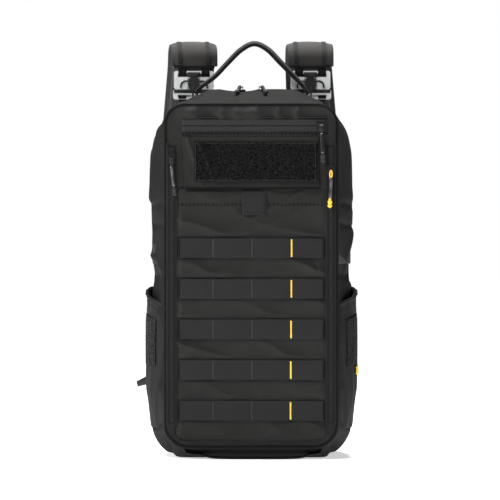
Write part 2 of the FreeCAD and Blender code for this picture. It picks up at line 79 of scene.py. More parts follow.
def add_studio():
    scene = bpy.context.scene
    scene.view_settings.view_transform = "Standard"
    world = bpy.data.worlds.new("studio")
    scene.world = world
    world.use_nodes = True
    nodes, links = world.node_tree.nodes, world.node_tree.links
    nodes["Background"].inputs["Color"].default_value = (1, 1, 1, 1)
    as_light, to_camera = 0.11, 1.0
    seen = nodes.new("ShaderNodeMapRange")
    seen.inputs["To Min"].default_value = as_light
    seen.inputs["To Max"].default_value = to_camera
    links.new(nodes.new("ShaderNodeLightPath").outputs["Is Camera Ray"], seen.inputs["Value"])
    links.new(seen.outputs["Result"], nodes["Background"].inputs["Strength"])
    aim = (0, 0, 0.25)
    add_area("key", (-0.9, -1.6, 1.9), aim, 0.5, 44)
    add_area("strip_left", (-2.0, -0.4, 0.9), aim, 0.35, 28)
    add_area("top", (0.1, 0.2, 2.0), (0, 0.05, 0.45), 0.6, 88)
    bpy.ops.mesh.primitive_grid_add(x_subdivisions=8, y_subdivisions=8, size=30, location=(0, 6, 0))
    floor = bpy.context.object
    floor.name = "floor"
    floor.data.materials.append(floor_white())


# ---- materials ----
class Nodes:
    """A material's node tree, with short calls for the nodes that the fabrics share."""

    def __init__(self, name, roughness, metallic=0.0, specular=0.3, sheen=0.0):
        self.material = bpy.data.materials.new(name)
        self.material.use_nodes = True
        self.tree = self.material.node_tree
        self.shader = self.tree.nodes["Principled BSDF"]
        self.set(self.shader, "Roughness", roughness)
        self.set(self.shader, "Metallic", metallic)
        self.set(self.shader, "Specular IOR Level", specular)
        self.set(self.shader, "Sheen Weight", sheen)
        self.set(self.shader, "Sheen Roughness", 0.45)
        self.place = self.tree.nodes.new("ShaderNodeTexCoord")

    def set(self, node, socket, value):
        """A number, a colour or another node's output."""
        if isinstance(value, bpy.types.NodeSocket):
            self.tree.links.new(value, node.inputs[socket])
        else:
            node.inputs[socket].default_value = value

    def uv(self):
        split = self.tree.nodes.new("ShaderNodeSeparateXYZ")
        self.set(split, 0, self.place.outputs["UV"])
        return split.outputs[0], split.outputs[1]

    def upright(self):
        split = self.tree.nodes.new("ShaderNodeSeparateXYZ")
        self.set(split, 0, self.place.outputs["Object"])
        return split.outputs[0], split.outputs[2]

    def math(self, operation, a, b=0.0):
        node = self.tree.nodes.new("ShaderNodeMath")
        node.operation = operation
        self.set(node, 0, a)
        self.set(node, 1, b)
        return node.outputs[0]

    def wave(self, value, pitch):
        return self.math("SINE", self.math("MULTIPLY", value, 2 * math.pi / pitch))

    def noise(self, scale, detail=2.0):
        node = self.tree.nodes.new("ShaderNodeTexNoise")
        self.set(node, "Vector", self.place.outputs["Object"])
        self.set(node, "Scale", scale)
        self.set(node, "Detail", detail)
        return node.outputs["Fac"]

    def ramp(self, value, low, high, a, b):
        """Goes from low to high as value goes from a to b."""
        node = self.tree.nodes.new("ShaderNodeMapRange")
        for socket, given in ((0, value), (1, a), (2, b), (3, low), (4, high)):
            self.set(node, socket, given)
        return node.outputs[0]

    def colour(self, factor, dark, light):
        node = self.tree.nodes.new("ShaderNodeMix")
        node.data_type = "RGBA"
        self.set(node, 0, factor)
        self.set(node, 6, (*dark, 1))
        self.set(node, 7, (*light, 1))
        self.set(self.shader, "Base Color", node.outputs[2])

    def bump(self, height, distance, strength=1.0):
        node = self.tree.nodes.new("ShaderNodeBump")
        self.set(node, "Strength", strength)
        self.set(node, "Distance", distance)
        self.set(node, "Height", height)
        self.set(self.shader, "Normal", node.outputs[0])


def shade(colour, factor):
    return tuple(c * factor for c in colour)


def grey(value):
    return (value, value, value)


def plain(name, colour, roughness, metallic=0.0, specular=0.5, grain=900.0, depth=0.04 * MM, spread=0.15):
    """Moulded or metal surface: faint grain in colour and in the surface."""
    n = Nodes(name, roughness, metallic, specular)
    n.colour(n.noise(grain / 12, 4.0), shade(colour, 1 - spread), shade(colour, 1 + spread))
    n.bump(n.noise(grain, 2.0), depth)
    return n.material


def weave(name, colour, pitch=0.9 * MM, roughness=0.75, sheen=0.03, specular=0.11, depth=0.12 * MM,
          wear=0.34):
    """Plain weave: crossing threads, uneven yarn and soft blotches."""
    n = Nodes(name, roughness, specular=specular, sheen=sheen)
    u, v = n.uv()
    cross = n.math("MULTIPLY", n.wave(u, 2 * pitch), n.wave(v, 2 * pitch))
    yarn = n.noise(1400.0, 2.0)
    blotch = n.noise(28.0, 5.0)
    shade_of = n.math("ADD", n.math("MULTIPLY", cross, 0.18), n.math("MULTIPLY", yarn, 0.5))
    shade_of = n.math("ADD", shade_of, n.math("MULTIPLY", blotch, 0.6))
    n.colour(n.ramp(shade_of, 0.0, 1.0, 0.15, 0.95), shade(colour, 1 - wear), shade(colour, 1 + wear))
    n.bump(n.math("ADD", cross, n.math("MULTIPLY", yarn, 0.9)), depth)
    return n.material


def ribbed(name, colour, pitch=1.35 * MM, roughness=0.62, sheen=0.03, specular=0.22):
    """Webbing: ribs across its length, in a herringbone, with a thread grain."""
    n = Nodes(name, roughness, specular=specular, sheen=sheen)
    u, v = n.uv()
    slant = n.math("PINGPONG", v, 3.2 * MM)
    rib = n.wave(n.math("ADD", u, n.math("MULTIPLY", slant, 0.45)), pitch)
    thread = n.wave(v, 0.75 * MM)
    yarn = n.noise(900.0, 2.0)
    height = n.math("ADD", n.math("MULTIPLY", rib, 0.7), n.math("MULTIPLY", thread, 0.35))
    mixed = n.math("ADD", n.math("MULTIPLY", height, 0.3), yarn)
    n.colour(n.ramp(mixed, 0.0, 1.0, 0.1, 1.0), shade(colour, 0.66), shade(colour, 1.34))
    n.bump(n.math("ADD", height, yarn), 0.14 * MM)
    return n.material


def pile(name, colour):
    """Loop pile: tangled fuzz, no shine; its colour follows the fuzz height, with painted shade in the
    hollows and painted light on the tufts.
    """
    n = Nodes(name, 1.0, specular=0.03, sheen=0.03)
    cells = n.tree.nodes.new("ShaderNodeTexVoronoi")
    n.set(cells, "Vector", n.place.outputs["Object"])
    n.set(cells, "Scale", 560.0)
    fuzz = n.noise(470.0, 6.0)
    tangle = n.math("SUBTRACT", fuzz, n.math("MULTIPLY", cells.outputs["Distance"], 0.35))
    # Colour follows the same height as the bump: painted shade in the hollows, painted light on the tufts.
    n.colour(n.ramp(tangle, 0.0, 1.0, 0.16, 0.48), shade(colour, 0.1), shade(colour, 2.9))
    n.bump(tangle, 0.9 * MM)
    return n.material


def mesh_cloth(name, colour, pitch=3.0 * MM, where="UV"):
    """Spacer mesh: round dimples in offset rows, coloured darker down in the dimples: painted shade. On a
    pad without a flat pattern they follow X and Z.
    """
    n = Nodes(name, 0.75, specular=0.25, sheen=0.15)
    u, v = n.uv() if where == "UV" else n.upright()
    holes = n.math("MULTIPLY", n.wave(n.math("ADD", u, v), pitch), n.wave(n.math("SUBTRACT", u, v), pitch))
    height = n.math("ABSOLUTE", holes)
    # Colour follows the dimple height: painted shade in the dimples.
    n.colour(n.ramp(height, 0.0, 1.0, 0.0, 0.55), shade(colour, 0.3), shade(colour, 1.5))
    n.bump(height, 0.5 * MM)
    return n.material


CLOTH = weave("pack_weave", (0.0142, 0.0142, 0.0136))
# The same weave as CLOTH at half its brightness, for the sides and top: painted shade.
GUSSET_PAINTED_SHADE = weave("gusset_weave", (0.0070, 0.0070, 0.0067), sheen=0.0, specular=0.07)
FLAP_CLOTH = weave("flap_weave", (0.0150, 0.0150, 0.0141), wear=0.24)
BASE = weave("base_weave", grey(0.0130), pitch=1.2 * MM, roughness=0.8, sheen=0.0, specular=0.08)
STRETCH = weave("stretch_weave", (0.0138, 0.0130, 0.0130), pitch=0.6 * MM, sheen=0.02, specular=0.08,
                depth=0.06 * MM)
LINING = weave("lining_weave", (0.0300, 0.0300, 0.0288), pitch=0.5 * MM, roughness=0.6)
PAD = weave("pad_weave", (0.0290, 0.0278, 0.0266), pitch=0.8 * MM, sheen=0.12)
WEB = ribbed("webbing_ribs", grey(0.0092), specular=0.16)
# Nearly black: the painted shadow under the flap's hem and painted shade along the face seams and side
# tucks; also the dark webbing of the buckle wraps.
PIPING_AND_PAINTED_SHADOW = weave("piping_weave", grey(0.0030), pitch=0.5 * MM, roughness=0.8, sheen=0.0, specular=0.1)
TAPE = weave("tape_weave", grey(0.0054), pitch=0.5 * MM, roughness=0.6, depth=0.05 * MM)
COATED = ribbed("coated_tape", (0.0072, 0.0072, 0.0074), pitch=2.2 * MM, roughness=0.42, specular=0.22)
COIL = plain("coil_nylon", grey(0.012), 0.4, specular=0.3, grain=2000.0)
PILE = pile("loop_pile", grey(0.0040))
BINDING = ribbed("binding_tape", (0.0150, 0.0146, 0.0142), pitch=1.8 * MM)
PILE_WORN = pile("loop_pile_worn", (0.0102, 0.0101, 0.0099))
MESH = mesh_cloth("spacer_mesh", grey(0.03))
MESH_LARGE = mesh_cloth("back_mesh", grey(0.03), pitch=4.5 * MM, where="Object")
THREAD = plain("thread_black", grey(0.0035), 0.7, specular=0.15, grain=3000.0)
# Pale grey thread: on the bar tacks, which are black thread, a painted highlight of their sheen; the loop
# field's border is sewn in it too.
PALE_THREAD_PAINTED_HIGHLIGHT = plain("thread_pale", (0.0270, 0.0270, 0.0262), 0.6, specular=0.3, grain=3000.0)
YELLOW_THREAD = plain("thread_yellow", (0.74, 0.50, 0.06), 0.5, grain=3000.0, spread=0.25)
YELLOW_CLOTH = weave("yellow_weave", (0.72, 0.46, 0.04), pitch=0.5 * MM, wear=0.15)
BLACK_METAL = plain("dark_metal", grey(0.02), 0.25, metallic=0.6, grain=1500.0)
BRIGHT_METAL = plain("bead_blasted_metal", (0.66, 0.67, 0.68), 0.36, metallic=0.55, grain=1800.0,
                     depth=0.05 * MM)
GLOSS = plain("gloss_tube", grey(0.012), 0.16, specular=1.0, grain=300.0, depth=0.02 * MM)
MOULDED = plain("moulded_black", grey(0.0060), 0.45, specular=0.3, grain=1600.0, depth=0.06 * MM)
SHEET = plain("frame_sheet_plastic", grey(0.02), 0.5, grain=700.0)
CORD = ribbed("black_cord", grey(0.0210), pitch=1.1 * MM)
YELLOW_CORD = ribbed("yellow_cord", (0.78, 0.52, 0.06), pitch=1.1 * MM)


def floor_white():
    """White floor that glows. The glow is weaker near the pack, where it would wash out black cloth."""
    n = Nodes("floor_white", 0.9, specular=0.0)
    n.colour(n.noise(3.0, 2.0), (0.93, 0.93, 0.93), (0.96, 0.96, 0.96))
    split = n.tree.nodes.new("ShaderNodeSeparateXYZ")
    n.set(split, 0, n.tree.nodes.new("ShaderNodeNewGeometry").outputs["Position"])
    x, y = split.outputs[0], split.outputs[1]
    away = n.math("SQRT", n.math("ADD", n.math("POWER", x, 2.0), n.math("POWER", y, 2.0)))
    n.set(n.shader, "Emission Color", (1, 1, 1, 1))
    n.set(n.shader, "Emission Strength", n.ramp(away, 0.55, 0.97, 0.4, 2.6))
    return n.material


# ---- mesh makers ----
def mesh_piece(name, verts, faces, material, body, uvs=None, replaces=()):
    """A mesh object that rides on a body. uvs has one pair for each corner of each face."""
    mesh = bpy.data.meshes.new(name)
    mesh.from_pydata([tuple(v) for v in verts], [], [tuple(int(i) for i in f) for f in faces])
    if uvs is not None:
        mesh.uv_layers.new(name="UVMap").data.foreach_set("uv", np.asarray(uvs, np.float32).ravel())
    mesh.polygons.foreach_set("use_smooth", [True] * len(mesh.polygons))
    mesh.materials.append(material)
    mesh.update()
    piece = bpy.data.objects.new(name, mesh)
    bpy.context.scene.collection.objects.link(piece)
    if body:
        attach(piece, body)
    if replaces:
        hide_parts(*replaces)
    return piece


def grid_faces(rows, columns, closed=False):
    faces = []
    for i in range(rows - 1):
        for j in range(columns if closed else columns - 1):
            k = (j + 1) % columns
            faces.append((i * columns + j, i * columns + k, (i + 1) * columns + k, (i + 1) * columns + j))
    return faces


def lengths(points):
    """Distance along each line of a grid of points, from its first point."""
    steps = np.linalg.norm(np.diff(points, axis=0), axis=-1)
    return np.concatenate([np.zeros((1,) + steps.shape[1:]), np.cumsum(steps, axis=0)])


def cloth(name, points, material, body, thick=0.0, flip=False, closed=False, replaces=(), held=None):
    """A sheet through a grid of points, rows by columns, with its own thickness on the far side.

    With held set, the sheet's flat size, its longest row and column, is worked out; nothing uses it.
    """
    points = np.asarray(points, float)
    rows, columns = points.shape[:2]
    faces = grid_faces(rows, columns, closed)
    along = lengths(points.swapaxes(0, 1)).mean(axis=1)
    across = lengths(points).mean(axis=1)
    step = along[-1] / max(columns - 1, 1)
    uvs = []
    for f in faces:
        for n, index in enumerate(f):
            i, j = divmod(index, columns)
            wrapped = closed and j == 0 and n in (1, 2)
            uvs.append((along[-1] + step if wrapped else along[j], across[i]))
    if flip:
        order = [f[::-1] for f in faces]
        uvs = [uvs[4 * n + 3 - m] for n in range(len(faces)) for m in range(4)]
        faces = order
    piece = mesh_piece(name, points.reshape(-1, 3), faces, material, body, uvs=uvs, replaces=replaces)
    if thick:
        solid = piece.modifiers.new("thickness", "SOLIDIFY")
        solid.thickness, solid.offset = thick, -1.0
    if held:
        flat = (float(lengths(points.swapaxes(0, 1))[-1].max()), float(lengths(points)[-1].max()))
    return piece


def mm(*values):
    return np.array(values, float) * MM


def smooth_path(points, count):
    """Catmull-Rom curve through a few points, evenly spaced along its length."""
    p = np.asarray(points, float)
    p = np.vstack([2 * p[0] - p[1], p, 2 * p[-1] - p[-2]])
    dense = []
    for a, b, c, d in zip(p, p[1:], p[2:], p[3:]):
        t = np.linspace(0, 1, 24, endpoint=False)[:, None]
        dense.append(0.5 * (2 * b + (c - a) * t + (2 * a - 5 * b + 4 * c - d) * t ** 2
                            + (3 * b - a - 3 * c + d) * t ** 3))
    dense = np.vstack(dense + [p[-2][None]])
    return even(dense, count)


def even(points, count):
    s = lengths(points)
    at = np.linspace(0, s[-1], count)
    return np.stack([np.interp(at, s, points[:, k]) for k in range(3)], axis=1)


def follow(path, values, count):
    """Values given at a path's points, at the evenly spaced points instead."""
    s = lengths(path)
    at = np.linspace(0, s[-1], count)
    return np.stack([np.interp(at, s, values[:, k]) for k in range(values.shape[1])], axis=1)


def unit(v):
    return v / np.maximum(np.linalg.norm(v, axis=-1, keepdims=True), 1e-12)


def swept(name, path, normal, profile, material, body, replaces=(), scale=None):
    """A closed profile, (across, out) pairs, carried along a path with the given outward normals.

    The profile may also be a list of profiles, one for each point of the path.
    """
    path = np.asarray(path, float)
    tangent = unit(np.gradient(path, axis=0))
    normal = np.broadcast_to(np.asarray(normal, float), path.shape)
    across = unit(np.cross(tangent, normal))
    out = unit(np.cross(across, tangent))
    size = np.ones(len(path)) if scale is None else np.asarray(scale)
    shapes = np.broadcast_to(profile, (len(path),) + np.shape(profile)[-2:]) * size[:, None, None]
    rings = (path[:, None] + shapes[:, :, :1] * across[:, None] + shapes[:, :, 1:] * out[:, None])
    profile = shapes[0]
    n, m = rings.shape[:2]
    faces = grid_faces(n, m, closed=True)
    around = np.append(lengths(np.vstack([profile, profile[:1]])[:, None, :])[:, 0], 0)
    s = lengths(path)
    uvs = []
    for f in faces:
        for k, index in enumerate(f):
            i, j = divmod(index, m)
            uvs.append((s[i], around[m] if j == 0 and k in (1, 2) else around[j]))
    verts = list(rings.reshape(-1, 3))
    for end, ring in ((0, list(range(m))), (1, list(range((n - 1) * m, n * m)))):
        faces.append(tuple(ring[::-1] if end == 0 else ring))
        uvs += [(0.0, 0.0)] * m
    return mesh_piece(name, verts, faces, material, body, uvs, replaces)


def round_profile(radius, count=12):
    a = np.linspace(0, 2 * math.pi, count, endpoint=False)
    return np.stack([radius * np.cos(a), radius * np.sin(a)], axis=1)


def band_profile(width, thick, columns=9, crown=0.0):
    """A flat band's section with soft edges; crown lifts its middle."""
    w, t = width / 2, thick / 2
    x = np.linspace(-w + t, w - t, columns)
    lift = crown * (1 - (x / w) ** 2)
    top = np.stack([x, t + lift], axis=1)
    low = np.stack([x[::-1], -t + lift[::-1]], axis=1)
    right = [(w - 0.35 * t, 0.7 * t), (w, 0), (w - 0.35 * t, -0.7 * t)]
    left = [(-w + 0.35 * t, -0.7 * t), (-w, 0), (-w + 0.35 * t, 0.7 * t)]
    return np.vstack([top, right, low, left])


def band(name, path, normal, width, thick, material, body, crown=0.0, replaces=(), scale=None):
    """A strip of webbing or tape."""
    return swept(name, path, normal, band_profile(width, thick, crown=crown), material, body,
                 replaces, scale)


TUBE_UP = (0.31, -0.9, 0.29)


def tube(name, points, radius, material, body, replaces=(), scale=None):
    """A round cord. Its sides start from a direction that none of the cords runs along."""
    return swept(name, points, TUBE_UP, round_profile(radius), material, body, replaces, scale)


# ---- thread ----
stitches = {}


def thread_rows(body, material):
    """The list of thread humps, each (start, end, outward, radius), of one body and colour."""
    return stitches.setdefault((body, material.name), [])


def stitch(body, points, normal, pitch=3.4 * MM, length=2.3 * MM, radius=0.28 * MM, material=THREAD):
    """Running stitches along a line on a surface."""
    path = np.asarray(points, float)
    normal = np.broadcast_to(np.asarray(normal, float), path.shape)
    per_stitch = 8
    count = max(2, int(lengths(path)[-1] / pitch) * per_stitch)
    normal = follow(path, normal, count + 1)
    path = even(path, count + 1)
    rows = thread_rows(body, material)
    for k in range(0, count - 7, per_stitch):
        start = path[k]
        end = start + unit(path[k + 6] - start) * length
        lift = normal[k] * 0.15 * MM
        rows.append((start + lift, end + lift, normal[k], radius))


STANDS_FOR = {("front_panel", YELLOW_THREAD.name): ("bar_tacks_yellow",),
              ("front_panel", PALE_THREAD_PAINTED_HIGHLIGHT.name): ("bar_tacks_black",)}


def bar_tack(body, x, z, height, y, material, width=2.0 * MM):
    """A dense satin stitch standing on the front face."""
    for k, at in enumerate(np.arange(z - height / 2, z + height / 2, 0.62 * MM)):
        lean = 0.25 * MM * (1 if k % 2 else -1)
        start = np.array((x - width / 2, y, at - lean))
        end = np.array((x + width / 2, y, at + lean))
        thread_rows(body, material).append((start, end, np.array(FRONT), 0.42 * MM))


def teeth(body, points, across, width, pitch=1.9 * MM, radius=0.5 * MM, material=COIL):
    """A zipper coil, or a heavy zigzag seam: short bars across a line."""
    path = np.asarray(points, float)
    count = int(lengths(path)[-1] / pitch)
    path = even(path, count)
    out = unit(np.cross(np.gradient(path, axis=0), across))
    half = np.asarray(across) * width / 2
    for k in range(count):
        shift = unit(path[min(k + 1, count - 1)] - path[max(k - 1, 0)]) * 0.2 * MM
        thread_rows(body, material).append((path[k] - half - shift, path[k] + half + shift, out[k], radius))


def make_stitches():
    """One mesh of little thread humps for each body and colour."""
    sides = 6
    hump = grid_faces(4, sides, closed=True) + [tuple(range(sides - 1, -1, -1)),
                                                tuple(range(18, 18 + sides))]
    for (body, material), rows in stitches.items():
        verts, faces = [], []
        for a, b, up, radius in rows:
            side = unit(np.cross(unit(b - a), up))
            faces += [tuple(len(verts) + i for i in f) for f in hump]
            for t, r in ((0.0, 0.35), (0.2, 0.95), (0.8, 0.95), (1.0, 0.35)):
                centre = a + (b - a) * t
                for angle in np.arange(sides) * 2 * math.pi / sides:
                    verts.append(centre + radius * r * (side * math.cos(angle) + up * math.sin(angle)))
        mesh_piece("stitching_%s_%s" % (body, material), verts, faces, bpy.data.materials[material], body,
                   replaces=STANDS_FOR.get((body, material), ()))


# ---- the body's shape ----
def hi(node):
    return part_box(node)[1]


def lo(node):
    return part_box(node)[0]


FACE_Y = lo("front_frame").y
BACK_Y = hi("back_panel").y
SPLIT_Y = (hi("main_zip_tape_front").y + lo("main_zip_tape_rear").y) / 2
BOOT_Z = hi("base_boot").z
FACE_HALF = hi("front_zip_tapes").x + MM
FACE_LOW, FACE_TOP = lo("front_frame").z + 1.1 * MM, hi("front_frame").z - 0.9 * MM
STATION_Y = [FACE_Y, FACE_Y + 50 * MM, SPLIT_Y + 15 * MM, BACK_Y]
STATION_HALF = [FACE_HALF, hi("front_side_gusset_right").x, hi("rear_side_gusset_right").x,
                hi("back_panel").x]
STATION_LOW = [FACE_LOW, 0.3 * MM, 0.3 * MM, 0.3 * MM]
STATION_TOP = [FACE_TOP, FACE_TOP + 15 * MM, hi("rear_top_gusset").z, hi("back_panel").z]
STATION_R_LOW = [28 * MM, 44 * MM, 48 * MM, 42 * MM]
STATION_R_TOP = [22 * MM, 80 * MM, 86 * MM, 74 * MM]


def eased(y, values):
    """A station value at a depth, with the kinks between stations rounded off."""
    spread = np.linspace(-7 * MM, 7 * MM, 7)
    inside = np.clip(y + spread, FACE_Y, BACK_Y)
    exact = np.interp(y, STATION_Y, values)
    room = min(1.0, (y - FACE_Y) / (10 * MM), (BACK_Y - y) / (10 * MM))
    return exact + max(room, 0.0) * (np.interp(inside, STATION_Y, values).mean() - exact)


def rounded(half, low, top, r, r_top=None, steps=24):
    """A rounded rectangle from the bottom middle, up the right side, over the top and back: (x, z)."""
    q = r if r_top is None else r_top
    runs = [((0, low), (half - r, low)), (half - r, low + r, -90, r), ((half, low + r), (half, top - q)),
            (half - q, top - q, 0, q), ((half - q, top), (-half + q, top)), (-half + q, top - q, 90, q),
            ((-half, top - q), (-half, low + r)), (-half + r, low + r, 180, r),
            ((-half + r, low), (0, low))]
    points = []
    for run in runs:
        if len(run) == 4:
            x, z, turn, radius = run
            a = np.radians(turn + np.linspace(0, 90, steps, endpoint=False))
            points.append(np.stack([x + radius * np.cos(a), z + radius * np.sin(a)], axis=1))
        else:
            t = np.linspace(0, 1, steps, endpoint=False)[:, None]
            points.append((1 - t) * np.array(run[0]) + t * np.array(run[1]))
    return np.vstack(points + [[(0, low)]])


def section(y, grow=0.0):
    """The body's outline at a depth, evenly spaced."""
    ring = rounded(eased(y, STATION_HALF) + grow, eased(y, STATION_LOW) - grow,
                   eased(y, STATION_TOP) + grow, eased(y, STATION_R_LOW) + grow,
                   eased(y, STATION_R_TOP) + grow)
    return spaced(ring, 900)


def upper_part(ring, z, count):
    """The part of a section above a height: right side, top, left side."""
    keep = np.where(ring[:, 1] > z)[0]
    return spaced(ring[keep[0]:keep[-1] + 1], count)


def lower_part(ring, z, count):
    """The part of a section below a height: left side, bottom, right side."""
    n = len(ring) - 1
    keep = np.where(ring[:, 1] > z)[0]
    return spaced(np.vstack([ring[keep[-1]:n], ring[:keep[0] + 1]]), count)


def spaced(ring, count):
    s = lengths(ring)
    at = np.linspace(0, s[-1], count)
    return np.stack([np.interp(at, s, ring[:, k]) for k in (0, 1)], axis=1)


def fuzz(x, y, z, seed=0.0):
    return noise.noise(Vector((x, y, z + seed)))


def crease(x, y, z, seed=0.0):
    """Sharp-topped folds: high on a ridge, zero in between."""
    return (1 - abs(fuzz(x, y, z, seed))) ** 4


# Sewn tucks across the sides, and the shoulder where the buckles swing close to the cloth.
TUCK_Z = (0.228, 0.292, 0.318)
UNDER_STRAPS_Y, UNDER_STRAPS_Z = 45 * MM, 430 * MM


def gusset_relief(x, y, z):
    """How far the side and top cloth stands out of the plain shape."""
    side = min(1.0, max(0.0, (abs(x) - 0.085) / 0.03))
    folds = 2.2 * fuzz(x * 4, y * 7, z * 26, 3.0) + 4.6 * (crease(x * 5, y * 8, z * 15, 9.0) - 0.4)
    tucks = sum(2.2 * math.exp(-((z - at + 0.05 * y) / 0.005) ** 2) for at in TUCK_Z)
    tops = 5.0 * (crease(x * 22, y * 5, z * 4, 21.0) - 0.35) + 2.0 * fuzz(x * 30, y * 9, z * 9, 25.0)
    relief = side * (folds - tucks) + (1 - side) * min(tops, 1.6)
    if y > UNDER_STRAPS_Y and z > UNDER_STRAPS_Z:
        relief = min(relief, 0.0) - 1.8
    return MM * relief


def waist(x, y, z):
    """How far the sides are drawn in by the webbing, and filled out by the load above it."""
    side = min(1.0, max(0.0, (abs(x) - 0.085) / 0.03))
    away = min(1.0, max(0.0, (y - FACE_Y) / (35 * MM)), max(0.0, (BACK_Y - y) / (25 * MM)))
    shape = 1.6 * math.exp(-((z - 0.34) / 0.05) ** 2) - 3.2 * math.exp(-((z - 0.24) / 0.03) ** 2)
    return MM * side * away * away * (3 - 2 * away) * shape


def skin(y, grow, low, count):
    """A line round sides and top on the finished wall: (x, y, z) points."""
    ring = upper_part(section(y, grow), low, count)
    return np.array([(x + math.copysign(1.0, x) * waist(x, y, z), y, z) for x, z in ring])


def shell(name, y_range, rows, columns, part, material, body, replaces, relief=gusset_relief):
    """One half of the wall, part cut from every section, with folds that die out at its seams."""
    points = []
    for v, y in enumerate(np.linspace(*y_range, rows)):
        ring = part(section(y), BOOT_Z, columns)
        tangent = unit(np.gradient(ring, axis=0))
        edge = min(v, rows - 1 - v) / (rows - 1)
        row = []
        for j, (x, z) in enumerate(ring):
            fade = min(1.0, edge / 0.10) * min(1.0, min(j, columns - 1 - j) / 6)
            out = relief(x, y, z) * fade + (waist(x, y, z) if part is upper_part else 0.0)
            row.append((x + tangent[j][1] * out, y, z - tangent[j][0] * out))
        points.append(row)
    return cloth(name, points, material, body, thick=2.4 * MM, replaces=replaces, held="stretched")


def boot_relief(x, y, z):
    """The boot stays flat where it stands, and has a dart at each front corner."""
    dart = -2.2 * math.exp(-((abs(x) - 0.1) / 0.004) ** 2)
    return 0.0 if z < 3 * MM else MM * (0.8 * fuzz(x * 14, y * 14, z * 14) + dart)


def build_shells():
    gap = 0.3 * MM
    # The side and top cloth takes the darkened weave: painted shade.
    shell("lid_gusset_cloth", (FACE_Y + 0.6 * MM, SPLIT_Y - gap), 46, 460, upper_part, GUSSET_PAINTED_SHADE, "main_lid",
          ("front_side_gusset_left", "front_side_gusset_right", "front_top_gusset"))
    shell("rear_gusset_cloth", (SPLIT_Y + gap, BACK_Y - 2.6 * MM), 40, 460, upper_part, GUSSET_PAINTED_SHADE, "pack_body",
          ("rear_side_gusset_left", "rear_side_gusset_right", "rear_top_gusset"))
    shell("base_cloth", (FACE_Y + 3.4 * MM, BACK_Y - 2.6 * MM), 50, 150, lower_part, BASE, "pack_body",
          ("base_boot",), boot_relief)
    for y, body in ((FACE_Y + 1.0 * MM, "main_lid"), (BACK_Y - 1.2 * MM, "pack_body")):
        ring = section(y, 0.3 * MM)[:-1]
        loop = np.stack([ring[:, 0], np.full(len(ring), y), ring[:, 1]], axis=1)
        path = even(np.vstack([loop, loop[:1]]), 320)
        # Nearly black tube round the face's edge: painted shade along the seam.
        tube("edge_piping_" + body, path, 1.5 * MM, PIPING_AND_PAINTED_SHADOW, body)
    for n, at in enumerate(TUCK_Z):
        for name, sign in (("left", -1), ("right", 1)):
            seam = []
            for y in np.linspace(FACE_Y + 14 * MM, SPLIT_Y - 12 * MM, 50):
                z = at - 0.05 * y
                x = body_x(y, z)
                seam.append((sign * (x + waist(x, y, z) + gusset_relief(x, y, z) - 0.4 * MM), y, z))
            # Nearly black tube along each tuck: painted shade in its fold.
            tube("tuck_seam_%s_%d" % (name, n + 1), seam, 0.9 * MM, PIPING_AND_PAINTED_SHADOW, "main_lid")
    line = skin(FACE_Y + 4.5 * MM, 0.4 * MM, BOOT_Z + 3 * MM, 400)
    stitch("main_lid", line, unit(line - np.array([0, FACE_Y + 4.5 * MM, 0.24])))


# ---- front face ----
PANEL_LOW, PANEL_TOP = lo("front_panel_cloth"), hi("front_panel_cloth")
ROW_LOW, ROW_TOP = lo("webbing_rows"), hi("webbing_rows")
ROW_W = 25.4 * MM
ROW_Z = [ROW_TOP.z - ROW_W / 2 - i * 2 * ROW_W for i in range(5)]
ROW_Y = (ROW_LOW.y + ROW_TOP.y) / 2
TACK_X = mm(-47.5, 1.0, 50.0)


def half_width(z, half, low, top, r_low, r_top):
    """Half the width of a rounded rectangle at a height."""
    r, up = (r_low, r_low - (z - low)) if z - low < top - z else (r_top, r_top - (top - z))
    return half - r + math.sqrt(max(r * r - max(up, 0.0) ** 2, 0.0))


def rounded_sheet(half, low, top, r, columns, rows, depth, middle=0.0, r_top=None):
    """A grid in the shape of an upright rounded rectangle. depth(x, z) gives each point's Y."""
    points = []
    for z in np.linspace(low, top, rows):
        width = half_width(z, half, low, top, r, r if r_top is None else r_top)
        points.append([(middle + x, depth(middle + x, z), z) for x in np.linspace(-width, width, columns)])
    return points


def between_rows(z):
    """0 behind a webbing row, 1 halfway between two rows and away from them."""
    near = min(abs(z - row) for row in ROW_Z)
    return min(1.0, max(0.0, (near - ROW_W / 2) / (6 * MM)))


def panel_depth(x, z):
    """The fold-down panel: puffs and slanting puckers in the strips that show between the rows."""
    open_strip = between_rows(z)
    edge = min(1.0, (PANEL_TOP.x - abs(x)) / (7 * MM), (PANEL_TOP.z - z) / (6 * MM),
               (z - PANEL_LOW.z) / (6 * MM))
    pucker = crease(x * 10 + z * 26, 0.0, z * 6 - x * 5, 5.0) * (0.4 + 0.9 * min(1.0, abs(x) / (75 * MM)))
    dart = 2.2 * math.exp(-((x - 73 * MM + 0.35 * (z - ROW_Z[0])) / (2.4 * MM)) ** 2)
    dart *= math.exp(-((z - ROW_Z[0] + ROW_W) / (9 * MM)) ** 2)
    slant = crease(x * 17 - z * 30, 0.0, z * 9, 14.0)
    puff = 1.6 + 1.8 * fuzz(x * 13, z * 17, 1.0) + 5.6 * (pucker - 0.35) + 3.4 * (slant - 0.4) - dart
    return FACE_Y + 0.2 * MM - max(edge, 0.0) * (0.3 + open_strip * max(puff, -0.8)) * MM


def ring_depth(x, z):
    """The face around the panel: gathers under the top seam, flat where the zipper lies."""
    zip_z = (lo("upper_zip_tape").z + hi("upper_zip_tape").z) / 2
    flat = min(1.0, abs(z - zip_z) / (16 * MM))
    near_seam = math.exp(-((z - FACE_TOP + 9 * MM) / (7 * MM)) ** 2)
    gather = 9.0 * (crease(x * 34, 0.0, z * 4, 2.0) - 0.3) * near_seam
    return FACE_Y - MM * (flat * 1.1 * fuzz(x * 12, z * 9, 7.0) + gather)


